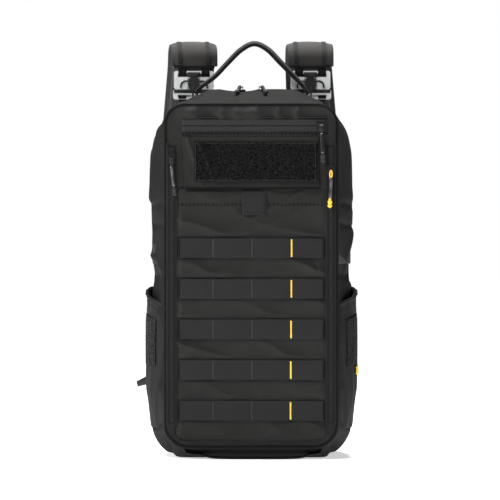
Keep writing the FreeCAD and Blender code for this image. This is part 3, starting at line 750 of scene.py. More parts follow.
def build_face():
    steps = 56
    gap = 0.3 * MM
    inner = rounded(PANEL_TOP.x + gap, PANEL_LOW.z - gap, PANEL_TOP.z + gap, 12 * MM, steps=steps)
    outer = rounded(FACE_HALF, FACE_LOW, FACE_TOP, STATION_R_LOW[0], STATION_R_TOP[0], steps)
    points = []
    for t in np.linspace(0, 1, 30):
        row = []
        for (x, z) in (1 - t) * inner + t * outer:
            fade = min(1.0, t / 0.08, (1 - t) / 0.06)
            row.append((x, FACE_Y + fade * (ring_depth(x, z) - FACE_Y), z))
        points.append(row[:-1])
    face = cloth("face_cloth", points, CLOTH, "main_lid", thick=2.2 * MM, flip=True, closed=True,
                 replaces=("front_frame",))
    panel = rounded_sheet(PANEL_TOP.x, PANEL_LOW.z, PANEL_TOP.z, 12 * MM, 120, 200, panel_depth)
    cloth("panel_cloth", panel, CLOTH, "front_panel", thick=1.6 * MM,
          replaces=("front_panel_cloth",), held="stretched")
    hem_z = 319 * MM
    for x0, x1 in ((-91, -14), (23, 88)):
        line = [(x, panel_depth(x, hem_z), hem_z) for x in np.linspace(x0 * MM, x1 * MM, 60)]
        teeth("front_panel", line, (0, 0, 1), 3.2 * MM, pitch=4.4 * MM, radius=1.1 * MM, material=THREAD)
    for x in (-91.8 * MM, 91.8 * MM):
        line = [(x, panel_depth(x, z), z) for z in np.linspace(36 * MM, 330 * MM, 90)]
        stitch("front_panel", line, FRONT)
    for sign in (-1, 1):
        lip = smooth_path([(sign * 93.6 * MM, FACE_Y - 0.4 * MM, z * MM) for z in (40, 130, 240, 336)], 70)
        tube("panel_edge_" + ("left" if sign < 0 else "right"), lip, 1.1 * MM, CLOTH, "front_panel")


def build_rows():
    """Webbing grid. Each loop bows out between its tacks."""
    ends = np.concatenate([[ROW_LOW.x + 0.9 * MM], TACK_X, [ROW_TOP.x - 0.9 * MM]])
    for n, z in enumerate(ROW_Z):
        path = []
        for x in np.linspace(ROW_LOW.x, ROW_TOP.x, 130):
            k = min(max(int(np.searchsorted(ends, x)) - 1, 0), 3)
            t = min(max((x - ends[k]) / (ends[k + 1] - ends[k]), 0.0), 1.0)
            bow = (0.7 + 0.5 * fuzz(k * 3.7, n * 2.3, 0.0)) * math.sin(math.pi * t) ** 0.6
            drift = 0.5 * fuzz(x * 9, n * 5.1, 4.0)
            path.append((x, ROW_Y - bow * MM, z + drift * MM))
        band("webbing_row_%d" % (n + 1), path, FRONT, ROW_W, 1.5 * MM, WEB, "front_panel",
             replaces=("webbing_rows",))
        # The middle tacks are black thread coloured pale grey: painted highlight.
        for x in TACK_X[:2]:
            bar_tack("front_panel", x, z, ROW_W - 2.5 * MM, ROW_Y - 0.85 * MM, PALE_THREAD_PAINTED_HIGHLIGHT, width=1.4 * MM)
        for x in (ends[0], ends[-1]):
            bar_tack("front_panel", x, z, ROW_W - 2.5 * MM, ROW_Y - 0.85 * MM, THREAD)
        bar_tack("front_panel", TACK_X[2] + (0.6 - 0.35 * n) * MM, z, ROW_W - 4 * MM, ROW_Y - 0.9 * MM,
                 YELLOW_THREAD, width=2.2 * MM)


def build_flap():
    low, top = lo("flap_cloth") - Vector((0, 0, 4 * MM)), hi("flap_cloth")

    def flap_y(x, z):
        down = (top.z - z) / (top.z - low.z)
        wave = 0.5 * fuzz(x * 14, z * 10, 11.0)
        fold = 3.4 * math.exp(-((x - low.x - (6 + 20 * down) * MM) / (2.6 * MM)) ** 2) * (1 - down) ** 0.35
        return top.y - 0.9 * MM - (3.8 * down ** 2 + wave * down + fold * 0.8) * MM

    points = []
    for z in np.linspace(low.z, top.z, 50):
        down = (top.z - z) / (top.z - low.z)
        left = low.x + 3 * MM * down
        sag = [0.9 * MM * down * math.sin(4.0 * math.pi * t) * 0.4 for t in np.linspace(0, 1, 130)]
        xs = np.linspace(left, top.x, 130)
        points.append([(x, flap_y(x, z), z + dz) for x, dz in zip(xs, sag)])
    cloth("flap_panel", points, FLAP_CLOTH, "flap", thick=1.5 * MM, replaces=("flap_cloth",),
          held="hung")
    for z in (low.z + 2.6 * MM, low.z + 5.4 * MM):
        line = [(x, flap_y(x, z), z) for x in np.linspace(low.x + 5 * MM, top.x, 90)]
        stitch("flap", line, FRONT)
    # A nearly black tube along the flap's lower edge: painted shadow cast by the flap.
    hem = [(x, flap_y(x, low.z) - 0.2 * MM, low.z + 0.4 * MM)
           for x in np.linspace(low.x + 3 * MM, top.x - 0.5 * MM, 100)]
    tube("flap_hem", hem, 1.0 * MM, PIPING_AND_PAINTED_SHADOW, "flap")

    low = lo("flap_loop_field") - Vector((0, 0, 2 * MM))
    top = hi("flap_loop_field") - Vector((0, 0, 4.5 * MM))
    points = []
    for z in np.linspace(low.z, top.z, 66):
        row = []
        for x in np.linspace(low.x, top.x, 190):
            edge = min(1.0, (x - low.x) / (1.5 * MM), (top.x - x) / (1.5 * MM), (z - low.z) / (1.5 * MM),
                       (top.z - z) / (1.5 * MM))
            tuft = 0.55 * fuzz(x * 420, z * 420, 0.0) + 0.4 * fuzz(x * 190, z * 190, 8.0)
            row.append((x, flap_y(x, z) - (0.5 + edge * (0.9 + tuft)) * MM, z))
        points.append(row)
    cloth("loop_field", points, PILE, "flap", thick=0.5 * MM, replaces=("flap_loop_field",),
          held="stretched")
    # Border stitching in the pale grey thread that paints the bar tacks' highlight.
    border = dict(pitch=2.6 * MM, length=1.9 * MM, radius=0.34 * MM, material=PALE_THREAD_PAINTED_HIGHLIGHT)
    for z in (low.z + 1.6 * MM, top.z - 1.6 * MM):
        line = [(x, flap_y(x, z) - 1.2 * MM, z) for x in np.linspace(low.x + 1 * MM, top.x - 1 * MM, 90)]
        stitch("flap", line, FRONT, **border)
    for x in (low.x + 1.6 * MM, top.x - 2.8 * MM):
        line = [(x, flap_y(x, z) - 1.2 * MM, z) for z in np.linspace(low.z + 1 * MM, top.z - 1 * MM, 40)]
        stitch("flap", line, FRONT, **border)


def build_pull_tab():
    low, top = lo("front_pull_tab"), hi("front_pull_tab")
    x, half = (low.x + top.x) / 2, (top.x - low.x) / 2
    path = smooth_path([(x, -81.0 * MM, top.z - MM), (x, -82.0 * MM, top.z - 8 * MM),
                        (x, -82.8 * MM, low.z + 9 * MM), (x, -82.4 * MM, low.z)], 34)
    band("pull_tab_webbing", path, FRONT, 2 * half, 2.2 * MM, WEB, "pull_tab", crown=0.3 * MM,
         replaces=("front_pull_tab",))
    y = -83.9 * MM
    corners = [(x - half + 3 * MM, y, low.z + 3 * MM), (x + half - 3 * MM, y, low.z + 3 * MM)]
    stitch("pull_tab", corners, FRONT)
    for side in (-1, 1):
        edge = x + side * (half - 3 * MM)
        stitch("pull_tab", [(edge, y, low.z + 3 * MM), (edge, y - 0.2 * MM, (low.z + top.z) / 2),
                            (edge, y + 0.7 * MM, top.z - 5 * MM)], FRONT)


# ---- zippers ----
def build_front_zips():
    low, top = lo("front_zip_tapes"), hi("front_zip_tapes")
    for name, sign in (("left", -1), ("right", 1)):
        x = sign * 99.6 * MM
        for part, shift in (("inner", -1), ("outer", 1)):
            at = x + sign * shift * 2.75 * MM
            path = [(at + 0.25 * MM * fuzz(z * 9, sign, 1.0), FACE_Y - 0.8 * MM, z)
                    for z in np.linspace(low.z, top.z, 110)]
            band("zip_tape_%s_%s" % (name, part), path, FRONT, 5.2 * MM, 0.9 * MM, TAPE,
                 "main_lid", crown=0.25 * MM, replaces=("front_zip_tapes",))
            stitch("main_lid", [(x + sign * shift * 4.4 * MM, FACE_Y - 1.3 * MM, low.z + 3 * MM),
                                (x + sign * shift * 4.4 * MM, FACE_Y - 1.3 * MM, top.z - 3 * MM)],
                   FRONT)
        line = [(x, FACE_Y - 1.0 * MM, z) for z in np.linspace(low.z + 2 * MM, top.z - 2 * MM, 60)]
        teeth("main_lid", line, (1, 0, 0), 4.0 * MM)
        edge = smooth_path([(sign * 105.2 * MM, FACE_Y - 0.2 * MM, z * MM)
                            for z in (44, 160, 280, 396)], 80)
        tube("zip_welt_" + name, edge, 0.9 * MM, CLOTH, "main_lid")


def build_upper_zip():
    """Water-resistant zipper: two coated lips that meet over the coil."""
    low, top = lo("upper_zip_tape"), hi("upper_zip_tape")
    middle = (low.z + top.z) / 2
    for name, side in (("upper", 1), ("lower", -1)):
        z = middle + side * 4.35 * MM
        path = [(x, FACE_Y - (0.4 + 0.25 * fuzz(x * 22, side, 3.0)) * MM, z)
                for x in np.linspace(low.x, top.x, 120)]
        band("zip_lip_" + name, path, FRONT, 8.6 * MM, 1.0 * MM, COATED, "main_lid",
             crown=0.3 * MM, replaces=("upper_zip_tape",))
        line = [(x, FACE_Y - 1.2 * MM, middle + side * 8.0 * MM) for x in np.linspace(low.x, top.x, 60)]
        stitch("main_lid", line, FRONT, pitch=2.8 * MM, radius=0.34 * MM)
    path = [(x, FACE_Y - 0.6 * MM, top.z + 1.2 * MM) for x in np.linspace(low.x, top.x, 90)]
    tube("zip_garage", path, 1.0 * MM, CLOTH, "main_lid")
    row = [(x, FACE_Y - 0.3 * MM, low.z - 1.6 * MM) for x in np.linspace(low.x, top.x, 80)]
    teeth("main_lid", row, (0, 0, 1), 2.4 * MM, pitch=4.4 * MM, radius=1.0 * MM, material=THREAD)


def build_main_zip():
    for node, body, inset in (("main_zip_tape_front", "main_lid", -1),
                              ("main_zip_tape_rear", "pack_body", 1)):
        near, far = (hi(node).y, lo(node).y) if inset < 0 else (lo(node).y, hi(node).y)
        points = []
        for t in np.linspace(0, 1, 7):
            y = near + t * (far - near)
            grow = (1.25 - 0.5 * t) * MM
            points.append(skin(y, grow, lo(node).z, 420))
        cloth(node.replace("_tape", "_cloth"), points, TAPE, body, thick=0.8 * MM, flip=inset < 0,
              replaces=(node,))
        y = near + inset * 1.4 * MM
        teeth(body, skin(y, 1.5 * MM, lo(node).z + 2 * MM, 500), REAR, 2.4 * MM, pitch=2.2 * MM)
        y = near + inset * 7.0 * MM
        line = skin(y, 1.3 * MM, lo(node).z + 2 * MM, 500)
        stitch(body, line, unit(line - np.array([0, y, 0.24])))


def zip_pull(name, body, points, cord, sleeve=GLOSS):
    """A cord loop through the slider, a gloss tube on it and a knotted end."""
    path = smooth_path(points, 60)
    total = lengths(path)[-1]
    at = np.linspace(0, total, 60) / total
    tangent = unit(np.gradient(path, axis=0))
    side = unit(np.cross(tangent, np.array([0.1, -1, 0.2])))
    loop = path[:16]
    spread = np.sin(np.linspace(0.15, 0.95, 16) * math.pi)[:, None] * 1.3 * MM
    strands = np.vstack([loop[::-1] + side[:16][::-1] * spread[::-1], loop - side[:16] * spread])
    tube(name + "_loop", even(strands, 40), 0.85 * MM, cord, body)
    middle = path[(at > 0.19) & (at < 0.76)]
    swell = 1 + 0.03 * np.sin(np.linspace(0, 3 * math.pi, len(middle)))
    swell[[0, -1]] *= 0.7
    tube(name + "_tube", middle, 2.4 * MM, sleeve, body, scale=swell)
    end = even(path[at > 0.72], 40)
    t = np.linspace(0, 1, 40)
    lumps = 0.55 + 0.75 * np.exp(-((t - 0.42) / 0.2) ** 2) + 0.75 * np.exp(-((t - 0.8) / 0.13) ** 2)
    lumps[-3:] *= (0.9, 0.7, 0.3)
    tube(name + "_knot", end, 2.3 * MM, cord, body, scale=lumps, replaces=(name,))


def build_pulls():
    """Each pull hangs from its slider's bar."""
    top_at = {n: (lo("zip_pull_" + n) + hi("zip_pull_" + n)) / 2 for n in ("left", "right", "upper")}
    for name, lean, cord in (("left", 4.5, CORD), ("right", -1.5, YELLOW_CORD), ("upper", 2.2, CORD)):
        centre = top_at[name]
        high, low = hi("zip_pull_" + name).z - 2 * MM, lo("zip_pull_" + name).z
        reach = high - low
        rest = -1.5 * MM if name == "upper" else 2.6 * MM
        points = [(centre.x, centre.y, high),
                  (centre.x + 0.2 * lean * MM, centre.y + 0.4 * rest, high - 0.3 * reach),
                  (centre.x + 0.7 * lean * MM, centre.y + 0.8 * rest, high - 0.7 * reach),
                  (centre.x + lean * MM, centre.y + rest, low + 1 * MM)]
        zip_pull("zip_pull_" + name, "pull_" + name, points, cord)
    for name, lean in (("main_left", -5.0), ("main_right", 7.0)):
        low, high = lo("zip_pull_" + name), hi("zip_pull_" + name)
        x = (low.x + high.x) / 2
        points = [(x, high.y - 2 * MM, high.z - 1.6 * MM),
                  (x + 0.25 * lean * MM, high.y - 14 * MM, high.z - 3.0 * MM),
                  (x + 0.7 * lean * MM, low.y + 12 * MM, low.z + 2.2 * MM),
                  (x + lean * MM, low.y, low.z + 1.0 * MM)]
        zip_pull("zip_pull_" + name, "pull_" + name, points, CORD, sleeve=MOULDED)


# ---- side pockets and side webbing ----
POCKET_LOW, POCKET_TOP = lo("side_pocket_right"), hi("side_pocket_right")
POCKET_PLAN = mm((109.0, -73.0), (117.0, -64.5), (124.5, -55.0), (130.5, -43.0), (133.0, -30.0),
                 (132.0, -15.0), (126.4, -4.5))
POCKET_PATH = smooth_path(np.column_stack([POCKET_PLAN, np.zeros(len(POCKET_PLAN))]), 200)


def body_x(y, z):
    """Half width of the body's plain shape at a depth and height."""
    kinds = (STATION_HALF, STATION_LOW, STATION_TOP, STATION_R_LOW, STATION_R_TOP)
    return half_width(z, *(eased(y, values) for values in kinds))


def pocket_point(s, t, out=0.0):
    """A point of the right-hand pocket: s along its plan, t from its foot to its mouth."""
    x = np.interp(s, np.linspace(0, 1, 200), POCKET_PATH[:, 0])
    y = np.interp(s, np.linspace(0, 1, 200), POCKET_PATH[:, 1])
    mouth = POCKET_TOP.z - 20 * MM * (POCKET_PLAN[-1][1] - y) / (POCKET_PLAN[-1][1] - POCKET_PLAN[0][1])
    z = POCKET_LOW.z + t * (mouth - POCKET_LOW.z)
    surface = body_x(y, z) + 0.6 * MM
    full = min(1.0, 0.25 + 2.6 * t) * (1 - 0.22 * max(0.0, t - 0.8) / 0.2)
    ends = math.sin(math.pi * min(max(s, 0.0), 1.0)) ** 0.35
    calm = min(1.0, max(0.0, abs(s - 0.41) / 0.24 - 0.9) * 4 + max(0.0, abs(t - 0.68) / 0.21 - 0.9) * 4)
    folds = (1.4 * fuzz(s * 4, z * 14, 31.0)
             + 2.6 * (crease(s * 5 + z * 12, z * 9, 0.0, 41.0) - 0.4)) * ends
    folds *= 0.15 + 0.85 * calm
    stand = max(x - surface, 0.6 * MM) * full + folds * MM * 0.8
    return surface + max(stand, 0.4 * MM) + out, y - 0.6 * out, z


def build_pockets():
    for name, sign in (("right", 1), ("left", -1)):
        side = np.array([sign, 1, 1])
        points = [[pocket_point(s, t) for s in np.linspace(0, 1, 60)] for t in np.linspace(0, 1, 64)]
        cloth("pocket_%s_cloth" % name, np.array(points) * side, STRETCH, "main_lid", thick=1.2 * MM,
              flip=sign < 0, replaces=("side_pocket_" + name,), held="gathered")
        mouth = np.array([pocket_point(s, 1.0, out=0.4 * MM) for s in np.linspace(0, 1, 110)])
        ripple = 1 + 0.16 * np.sin(np.linspace(0, 40 * math.pi, 110))
        tube("pocket_%s_elastic" % name, mouth * side, 2.4 * MM, STRETCH, "main_lid", scale=ripple)
        hem = np.array([pocket_point(s, 0.945, out=0.3 * MM) for s in np.linspace(0.02, 0.98, 80)])
        stitch("main_lid", hem * side, (sign * 0.8, -0.6, 0))
        patch = [[pocket_point(s, t, out=(1.3 + 0.35 * fuzz(s * 60, t * 60, 3.0)) * MM)
                  for s in np.linspace(0.20, 0.62, 60)] for t in np.linspace(0.49, 0.86, 60)]
        cloth("pocket_%s_patch" % name, np.array(patch) * side, PILE_WORN, "main_lid", thick=1.0 * MM,
              flip=sign < 0, replaces=("side_loop_patches",), held="stretched")
        low, top = lo("side_webbing"), hi("side_webbing")
        z = (low.z + top.z) / 2
        path = []
        for y in np.linspace(low.y + 1.5 * MM, top.y, 60):
            x = body_x(y, z)
            lift = max(gusset_relief(x, y, z + d) for d in (-10 * MM, -5 * MM, 0.0, 5 * MM, 10 * MM))
            path.append((x + max(lift, 0.2 * MM) + waist(x, y, z) + 0.9 * MM, y, z))
        path = np.array(path)
        out = unit(np.cross(np.gradient(path, axis=0), np.array([0, 0, 1.0])))
        band("side_webbing_" + name, path * side, out * side, top.z - low.z, 1.6 * MM, WEB, "main_lid",
             replaces=("side_webbing",))
    tag = []
    for z in np.linspace(lo("side_label_tab").z, hi("side_label_tab").z, 8):
        row = []
        for s in np.linspace(0.46, 0.62, 10):
            t = (z - POCKET_LOW.z) / (POCKET_TOP.z - 8 * MM - POCKET_LOW.z)
            x, y, _ = pocket_point(s, t, out=1.1 * MM)
            row.append((x + 0.4 * MM, y - 0.4 * MM, z + 3 * MM * (s - 0.46) / 0.16))
        tag.append(row)
    cloth("yellow_tab", tag, YELLOW_CLOTH, "main_lid", thick=0.8 * MM, replaces=("side_label_tab",),
          held="hung")


# ---- handles ----
def build_handles():
    low, top = lo("carry_handle"), hi("carry_handle")
    y = (low.y + top.y) / 2
    foot = top.x - 2.25 * MM
    apex = top.z - 2.3 * MM
    line = [(-66, 473), (-48, 487), (-31, 505), (-14, 521.5), (3, apex / MM), (20, 522), (36, 506),
            (52, 489.5), (66, 474.5)]
    points = [(-foot, y, 464 * MM)] + [(x * MM, y, z * MM) for x, z in line] + [(foot, y, 464 * MM)]
    path = smooth_path(points, 120)
    out = np.cross(np.array([0, -1.0, 0]), unit(np.gradient(path, axis=0)))
    turn = 0.32 * np.sin(math.pi * np.clip((path[:, 0] + 70 * MM) / (140 * MM), 0, 1))[:, None] ** 0.5
    out = np.cos(turn) * out + np.sin(turn) * np.array([0, -1.0, 0])
    part = np.array([1.3 + 0.4 * math.exp(-((x - 40 * MM) / (24 * MM)) ** 2) for x in path[:, 0]])[:, None]
    for name, shift in (("outer", 1.0), ("inner", -1.0)):
        lay = path + out * shift * part * MM
        band("handle_" + name, lay, out, 11.4 * MM, 2.4 * MM, WEB, "carry_handle",
             replaces=("carry_handle",), crown=0.15 * MM)
    for name, sign in (("left", -1), ("right", 1)):
        low, top = lo("handle_anchors"), hi("handle_anchors")
        x = sign * (top.x - 1 * MM)
        ear = smooth_path([(x - sign * 1.0 * MM, y, low.z - 3 * MM), (x, y, low.z + 3 * MM),
                           (x, y, top.z)], 24)
        band("handle_ear_" + name, ear, (sign, 0, 0), top.y - low.y, 1.8 * MM, WEB, "pack_body",
             replaces=("handle_anchors",))
        for z in (low.z + 3 * MM, low.z + 6 * MM):
            stitch("pack_body",
                   [(x + sign * 1.0 * MM, y - 5 * MM, z), (x + sign * 1.0 * MM, y + 5 * MM, z)],
                   (sign, 0, 0), pitch=1.4 * MM, length=1.1 * MM, radius=0.4 * MM)
    low, top = lo("bottom_handle"), hi("bottom_handle")
    y = (low.y + top.y) / 2
    run = smooth_path([(-84 * MM, y, 13 * MM), (-80 * MM, y, 7.5 * MM), (-64 * MM, y, 5.6 * MM),
                       (-44 * MM, y, 1.9 * MM), (6 * MM, y, 1.3 * MM), (56 * MM, y, 1.9 * MM),
                       (74 * MM, y, 5.6 * MM), (86 * MM, y, 8 * MM), (88 * MM, y, 13 * MM)], 120)
    down = np.cross(unit(np.gradient(run, axis=0)), np.array([0, -1.0, 0]))
    band("grab_handle", run, down, top.y - low.y, 1.9 * MM, WEB, "pack_body", crown=0.2 * MM,
         replaces=("bottom_handle",))


# ---- harness ----
PAD_X = 76 * MM
NEAR_Y, FAR_Y, ARC_Z = 74 * MM, 108 * MM, 513 * MM
PAD_SIDES = mm((165, 61, 93), (170, 56, 98), (177, 53, 101), (338, 55, 111), (418, 50, 112),
               (508, 47, 104.5))


def pad_route(count):
    """Centre line and half width of a strap pad, from the buckle end over the top to the lower end."""
    pad_top = 502 * MM
    angles = np.radians(np.linspace(180, 0, 24))
    middle, radius = (NEAR_Y + FAR_Y) / 2, (FAR_Y - NEAR_Y) / 2
    arc = [(middle + radius * math.cos(a), ARC_Z + radius * math.sin(a)) for a in angles]
    line = [(NEAR_Y, z) for z in np.linspace(pad_top, ARC_Z - MM, 6)] + arc
    line += [(FAR_Y, z) for z in np.linspace(ARC_Z - 6 * MM, PAD_SIDES[0][0], 60)]
    path = even(np.array([(0, y, z) for y, z in line]), count)
    sides = []
    for _, y, z in path:
        if y < FAR_Y - 0.5 * MM:
            sides.append((PAD_SIDES[-1][1], PAD_SIDES[-1][2]))
        else:
            sides.append((np.interp(z, PAD_SIDES[:, 0], PAD_SIDES[:, 1]),
                          np.interp(z, PAD_SIDES[:, 0], PAD_SIDES[:, 2])))
    sides = np.array(sides)
    kernel = np.ones(7) / 7
    padded = np.vstack([sides[:1]] * 3 + [sides] + [sides[-1:]] * 3)
    sides = np.stack([np.convolve(padded[:, k], kernel, "valid") for k in (0, 1)], axis=1)
    path[:, 0] = sides.mean(axis=1)
    return path, (sides[:, 1] - sides[:, 0]) / 2


def pad_normals(path):
    centre = np.array([0, (NEAR_Y + FAR_Y) / 2, 0])
    out = path - centre
    out[:, 0] = 0
    out[:, 2] = np.maximum(path[:, 2] - ARC_Z, 0.0)
    return unit(out)


def pad_profiles(half, path):
    """Padded sections: full in the middle, thin at the bound edges."""
    shapes = []
    for n, h in enumerate(half):
        across = np.cos(np.linspace(0, math.pi, 17)) * (h - 1.5 * MM)
        crown = np.sqrt(np.maximum(1 - (across / h) ** 2, 0.0))
        lump = np.array([0.35 * fuzz(a * 30, path[n][2] * 18, path[n][1] * 18) for a in across])
        end = min(1.0, 0.35 + n / 6, 0.35 + (len(half) - 1 - n) / 6)
        thick = (0.9 + (4.9 + lump) * crown) * end * MM
        shapes.append(np.vstack([np.stack([across, thick], axis=1),
                                 np.stack([across[::-1], -thick[::-1]], axis=1)]))
    return np.array(shapes)


def build_strap(name, sign):
    body = "strap_" + name
    side = np.array([sign, 1, 1])
    path, half = pad_route(150)
    spread = 5 * MM if name == "left" else -2 * MM
    far = np.clip((path[:, 1] - NEAR_Y) / (FAR_Y - NEAR_Y), 0, 1) * np.clip((path[:, 2] - 0.2) / 0.2, 0, 1)
    path[:, 0] += spread * far
    out = pad_normals(path)
    pad = swept("pad_" + name, path * side, out * side, pad_profiles(half, path), PAD, body,
                replaces=("strap_pad_" + name,))
    lining = []
    for row in np.linspace(-1, 1, 17):
        at = row * (half - 5 * MM)
        thick = (2.6 + 3.8 * math.sqrt(max(1 - (0.88 * row) ** 2, 0.0))) * MM
        lining.append([p + np.array([a, 0, 0]) - o * thick for p, a, o in zip(path, at, out)][1:-1])
    cloth("pad_%s_lining" % name, np.array(lining) * side, MESH, body, flip=sign > 0, thick=0.3 * MM,
          held="stretched")
    for edge, shift in (("inner", -1), ("outer", 1)):
        rim = path + np.stack([shift * (half - 1.6 * MM), 0 * half, 0 * half], axis=1)
        flat = round_profile(1.0, 14) * np.array([3.4 * MM, 2.6 * MM])
        swept("pad_%s_binding_%s" % (name, edge), rim * side, out * side, flat, BINDING, body)
        tape = path + np.stack([shift * (half - 10.5 * MM), 0 * half, 0 * half], axis=1) + out * 5.1 * MM
        band("pad_%s_tape_%s" % (name, edge), tape[1:60] * side, (out * side)[1:60], 6.0 * MM, 1.0 * MM,
             WEB, body)
        stitch(body, tape[1:60] * side + out[1:60] * side * 0.6 * MM, (out * side)[1:60])
    for end, n in (("near", 0), ("lower", len(path) - 1)):
        across = np.array([path[n] + np.array([a, 0, 0])
                           for a in np.linspace(-half[n] + 2 * MM, half[n] - 2 * MM, 30)])
        tube("pad_%s_hem_%s" % (name, end), across * side, 2.6 * MM, TAPE, body)
    spine = path[52:140] + out[52:140] * 6.0 * MM
    band("pad_%s_spine" % name, spine * side, (out * side)[52:140], 25.4 * MM, 1.4 * MM, WEB, body)
    for n in range(4, 88, 12):
        for shift in (-11, 11):
            spot = spine[n] + np.array([shift * MM, 0, 0]) + out[52 + n] * 0.8 * MM
            stitch(body, [spot * side, (spot + np.array([0, 0, 3 * MM])) * side], (out * side)[52 + n],
                   pitch=1 * MM, length=0.9 * MM)
    build_buckle(name, side)
    build_lower_strap(name, side)


def build_buckle(name, side):
    body = "strap_" + name
    x = PAD_X
    wraps = (("upper", [(78.7, 502), (78.9, 498), (76.5, 499.2), (72.5, 499.0), (69.5, 496.0),
                        (69.6, 491.5), (72.5, 490.0), (76.0, 490.2)]),
             ("lower", [(78.9, 466), (79.3, 460), (77.0, 457.4), (73.4, 458.0), (70.0, 460.0),
                        (70.0, 462.8), (72.6, 463.2), (76.0, 463.0)]))
    for end, line in wraps:
        path = smooth_path([(x, y * MM, z * MM) for y, z in line], 50)
        tangent = unit(np.gradient(path, axis=0))
        out = np.cross(tangent, np.array([1.0, 0, 0]))
        for part, shift in (("inner", -15 * MM), ("outer", 15 * MM)):
            band("buckle_%s_wrap_%s_%s" % (name, end, part), (path + np.array([shift, 0, 0])) * side,
                 out * side, 10.5 * MM, 1.5 * MM, PIPING_AND_PAINTED_SHADOW, body)
    leg = smooth_path([(x, 78.8 * MM, z * MM) for z in (454.6, 458, 462, 466)], 16)
    band("buckle_%s_leg" % name, leg * side, REAR, 40.6 * MM, 2.2 * MM, WEB, body)
    bar = np.array([(at, 69.1 * MM, 469.4 * MM) for at in np.linspace(x - 26 * MM, x + 26 * MM, 30)])
    band("buckle_%s_bar" % name, bar * side, FRONT, 4.6 * MM, 1.5 * MM, MOULDED, body)
    for at in np.linspace(x - 24 * MM, x + 24 * MM, 17):
        rib = smooth_path([(at, 68.2 * MM, z * MM) for z in (467.6, 469.4, 471.2)], 6)
        tube("buckle_%s_rib_%d" % (name, round(at / MM)), rib * side, 0.5 * MM, MOULDED, body)
    latch = "latch_" + name
    y = lo("release_latch_" + name).y
    tab = [[(x + w * (3.4 + 0.55 * k), y + (0.2 - 1.1 * math.sin(k * 0.3)) * MM, (485 + k) * MM)
            for w in np.linspace(-1, 1, 9) * MM] for k in np.linspace(0, 9, 12)]
    cloth("latch_%s_tab" % name, np.array(tab) * side, WEB, latch, thick=1.6 * MM, flip=side[0] < 0,
          held="hung")
    anchor = lo("buckle_anchor_webbing"), hi("buckle_anchor_webbing")
    strip = smooth_path([(x, 78.9 * MM, z) for z in np.linspace(anchor[0].z, anchor[1].z, 4)], 20)
    band("buckle_%s_anchor" % name, strip * side, REAR, 40 * MM, 1.7 * MM, WEB, "pack_body",
         replaces=("buckle_anchor_webbing",))
    for z in (419, 428, 437):
        stitch("pack_body",
               np.array([(x - 17 * MM, 79.8 * MM, z * MM), (x + 17 * MM, 79.8 * MM, z * MM)]) * side,
               REAR, pitch=2.4 * MM, length=1.7 * MM)


def build_lower_strap(name, side):
    body = "strap_" + name
    x = 84 * MM
    hanger = smooth_path([(x, 106.3 * MM, z * MM) for z in (144, 152, 160, 170)], 20)
    band("lock_%s_hanger" % name, hanger * side, REAR, 25.6 * MM, 3.0 * MM, WEB, body)
    run = smooth_path([(x, 103 * MM, 136 * MM), (x, 102.4 * MM, 118 * MM), (x, 101.6 * MM, 96 * MM),
                       (x, 98.2 * MM, 80 * MM), (x, 91.2 * MM, 66 * MM), (x, 83.6 * MM, 53 * MM),
                       (x, 80.6 * MM, 47 * MM)], 90)
    out = np.cross(unit(np.gradient(run, axis=0)), np.array([1.0, 0, 0]))
    lower = band("lower_%s_webbing" % name, run * side, out * side, 25.4 * MM, 1.6 * MM, WEB, None,
                 replaces=("lower_webbing_" + name,))
    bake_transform(lower)
    ends = {"left": [(136, 108.6, 92), (152, 106.0, 86)], "right": [(112, 110.5, 84), (116, 109.0, 68)]}
    line = [(84, 109.6, 132), (86, 110.4, 122), (98, 111.2, 110), (116, 110.6, 100)] + ends[name]
    tail = smooth_path(mm(*line), 70)
    twist = np.linspace(0, 0.9, 70)
    normal = np.stack([0.25 * np.sin(twist * 2), np.cos(twist), np.sin(twist)], axis=1)
    narrow = np.interp(np.linspace(0, 1, 70), (0, 0.3, 0.8, 1), (1, 0.95, 0.62, 0.5))
    band("lower_%s_tail" % name, tail * side, normal * side, 25.4 * MM, 1.6 * MM, WEB, body,
         crown=-0.9 * MM, scale=narrow)
    tab = [[(x + w * (16 - 5 * t) * MM, (79.2 + 0.8 * math.sin(math.pi * t)) * MM, (30 + 22 * t) * MM)
            for w in np.linspace(-1, 1, 20)] for t in np.linspace(0, 1, 16)]
    cloth("lower_%s_tab" % name, np.array(tab) * side, CLOTH, "pack_body", thick=1.4 * MM, flip=side[0] > 0,
          replaces=("lower_anchor_tabs",), held="stretched")
    for z in (33, 45, 48):
        stitch("pack_body",
               np.array([(x - 11 * MM, 80.6 * MM, z * MM), (x + 11 * MM, 80.6 * MM, z * MM)]) * side,
               REAR, pitch=2.6 * MM)


def build_sternum():
    for name, sign in (("left", -1), ("right", 1)):
        top, bottom = 394 * MM, 338 * MM
        path = smooth_path([(sign * 62 * MM, 116 * MM, top),
                            (sign * 62 * MM, 116.4 * MM, (top + bottom) / 2),
                            (sign * 62 * MM, 116 * MM, bottom)], 40)
        band("chest_webbing_" + name, path, REAR, 19.4 * MM, 2.0 * MM, WEB, "sternum_" + name)


# ---- back ----
BACK_HALF = STATION_HALF[-1]


def back_depth(x, z):
    edge = min(1.0, (BACK_HALF - abs(x)) / (14 * MM), (hi("back_panel").z - z) / (14 * MM), z / (14 * MM))
    return BACK_Y - 0.4 * MM + 0.3 * MM * fuzz(x * 12, z * 12, 17.0) * max(edge, 0.0)


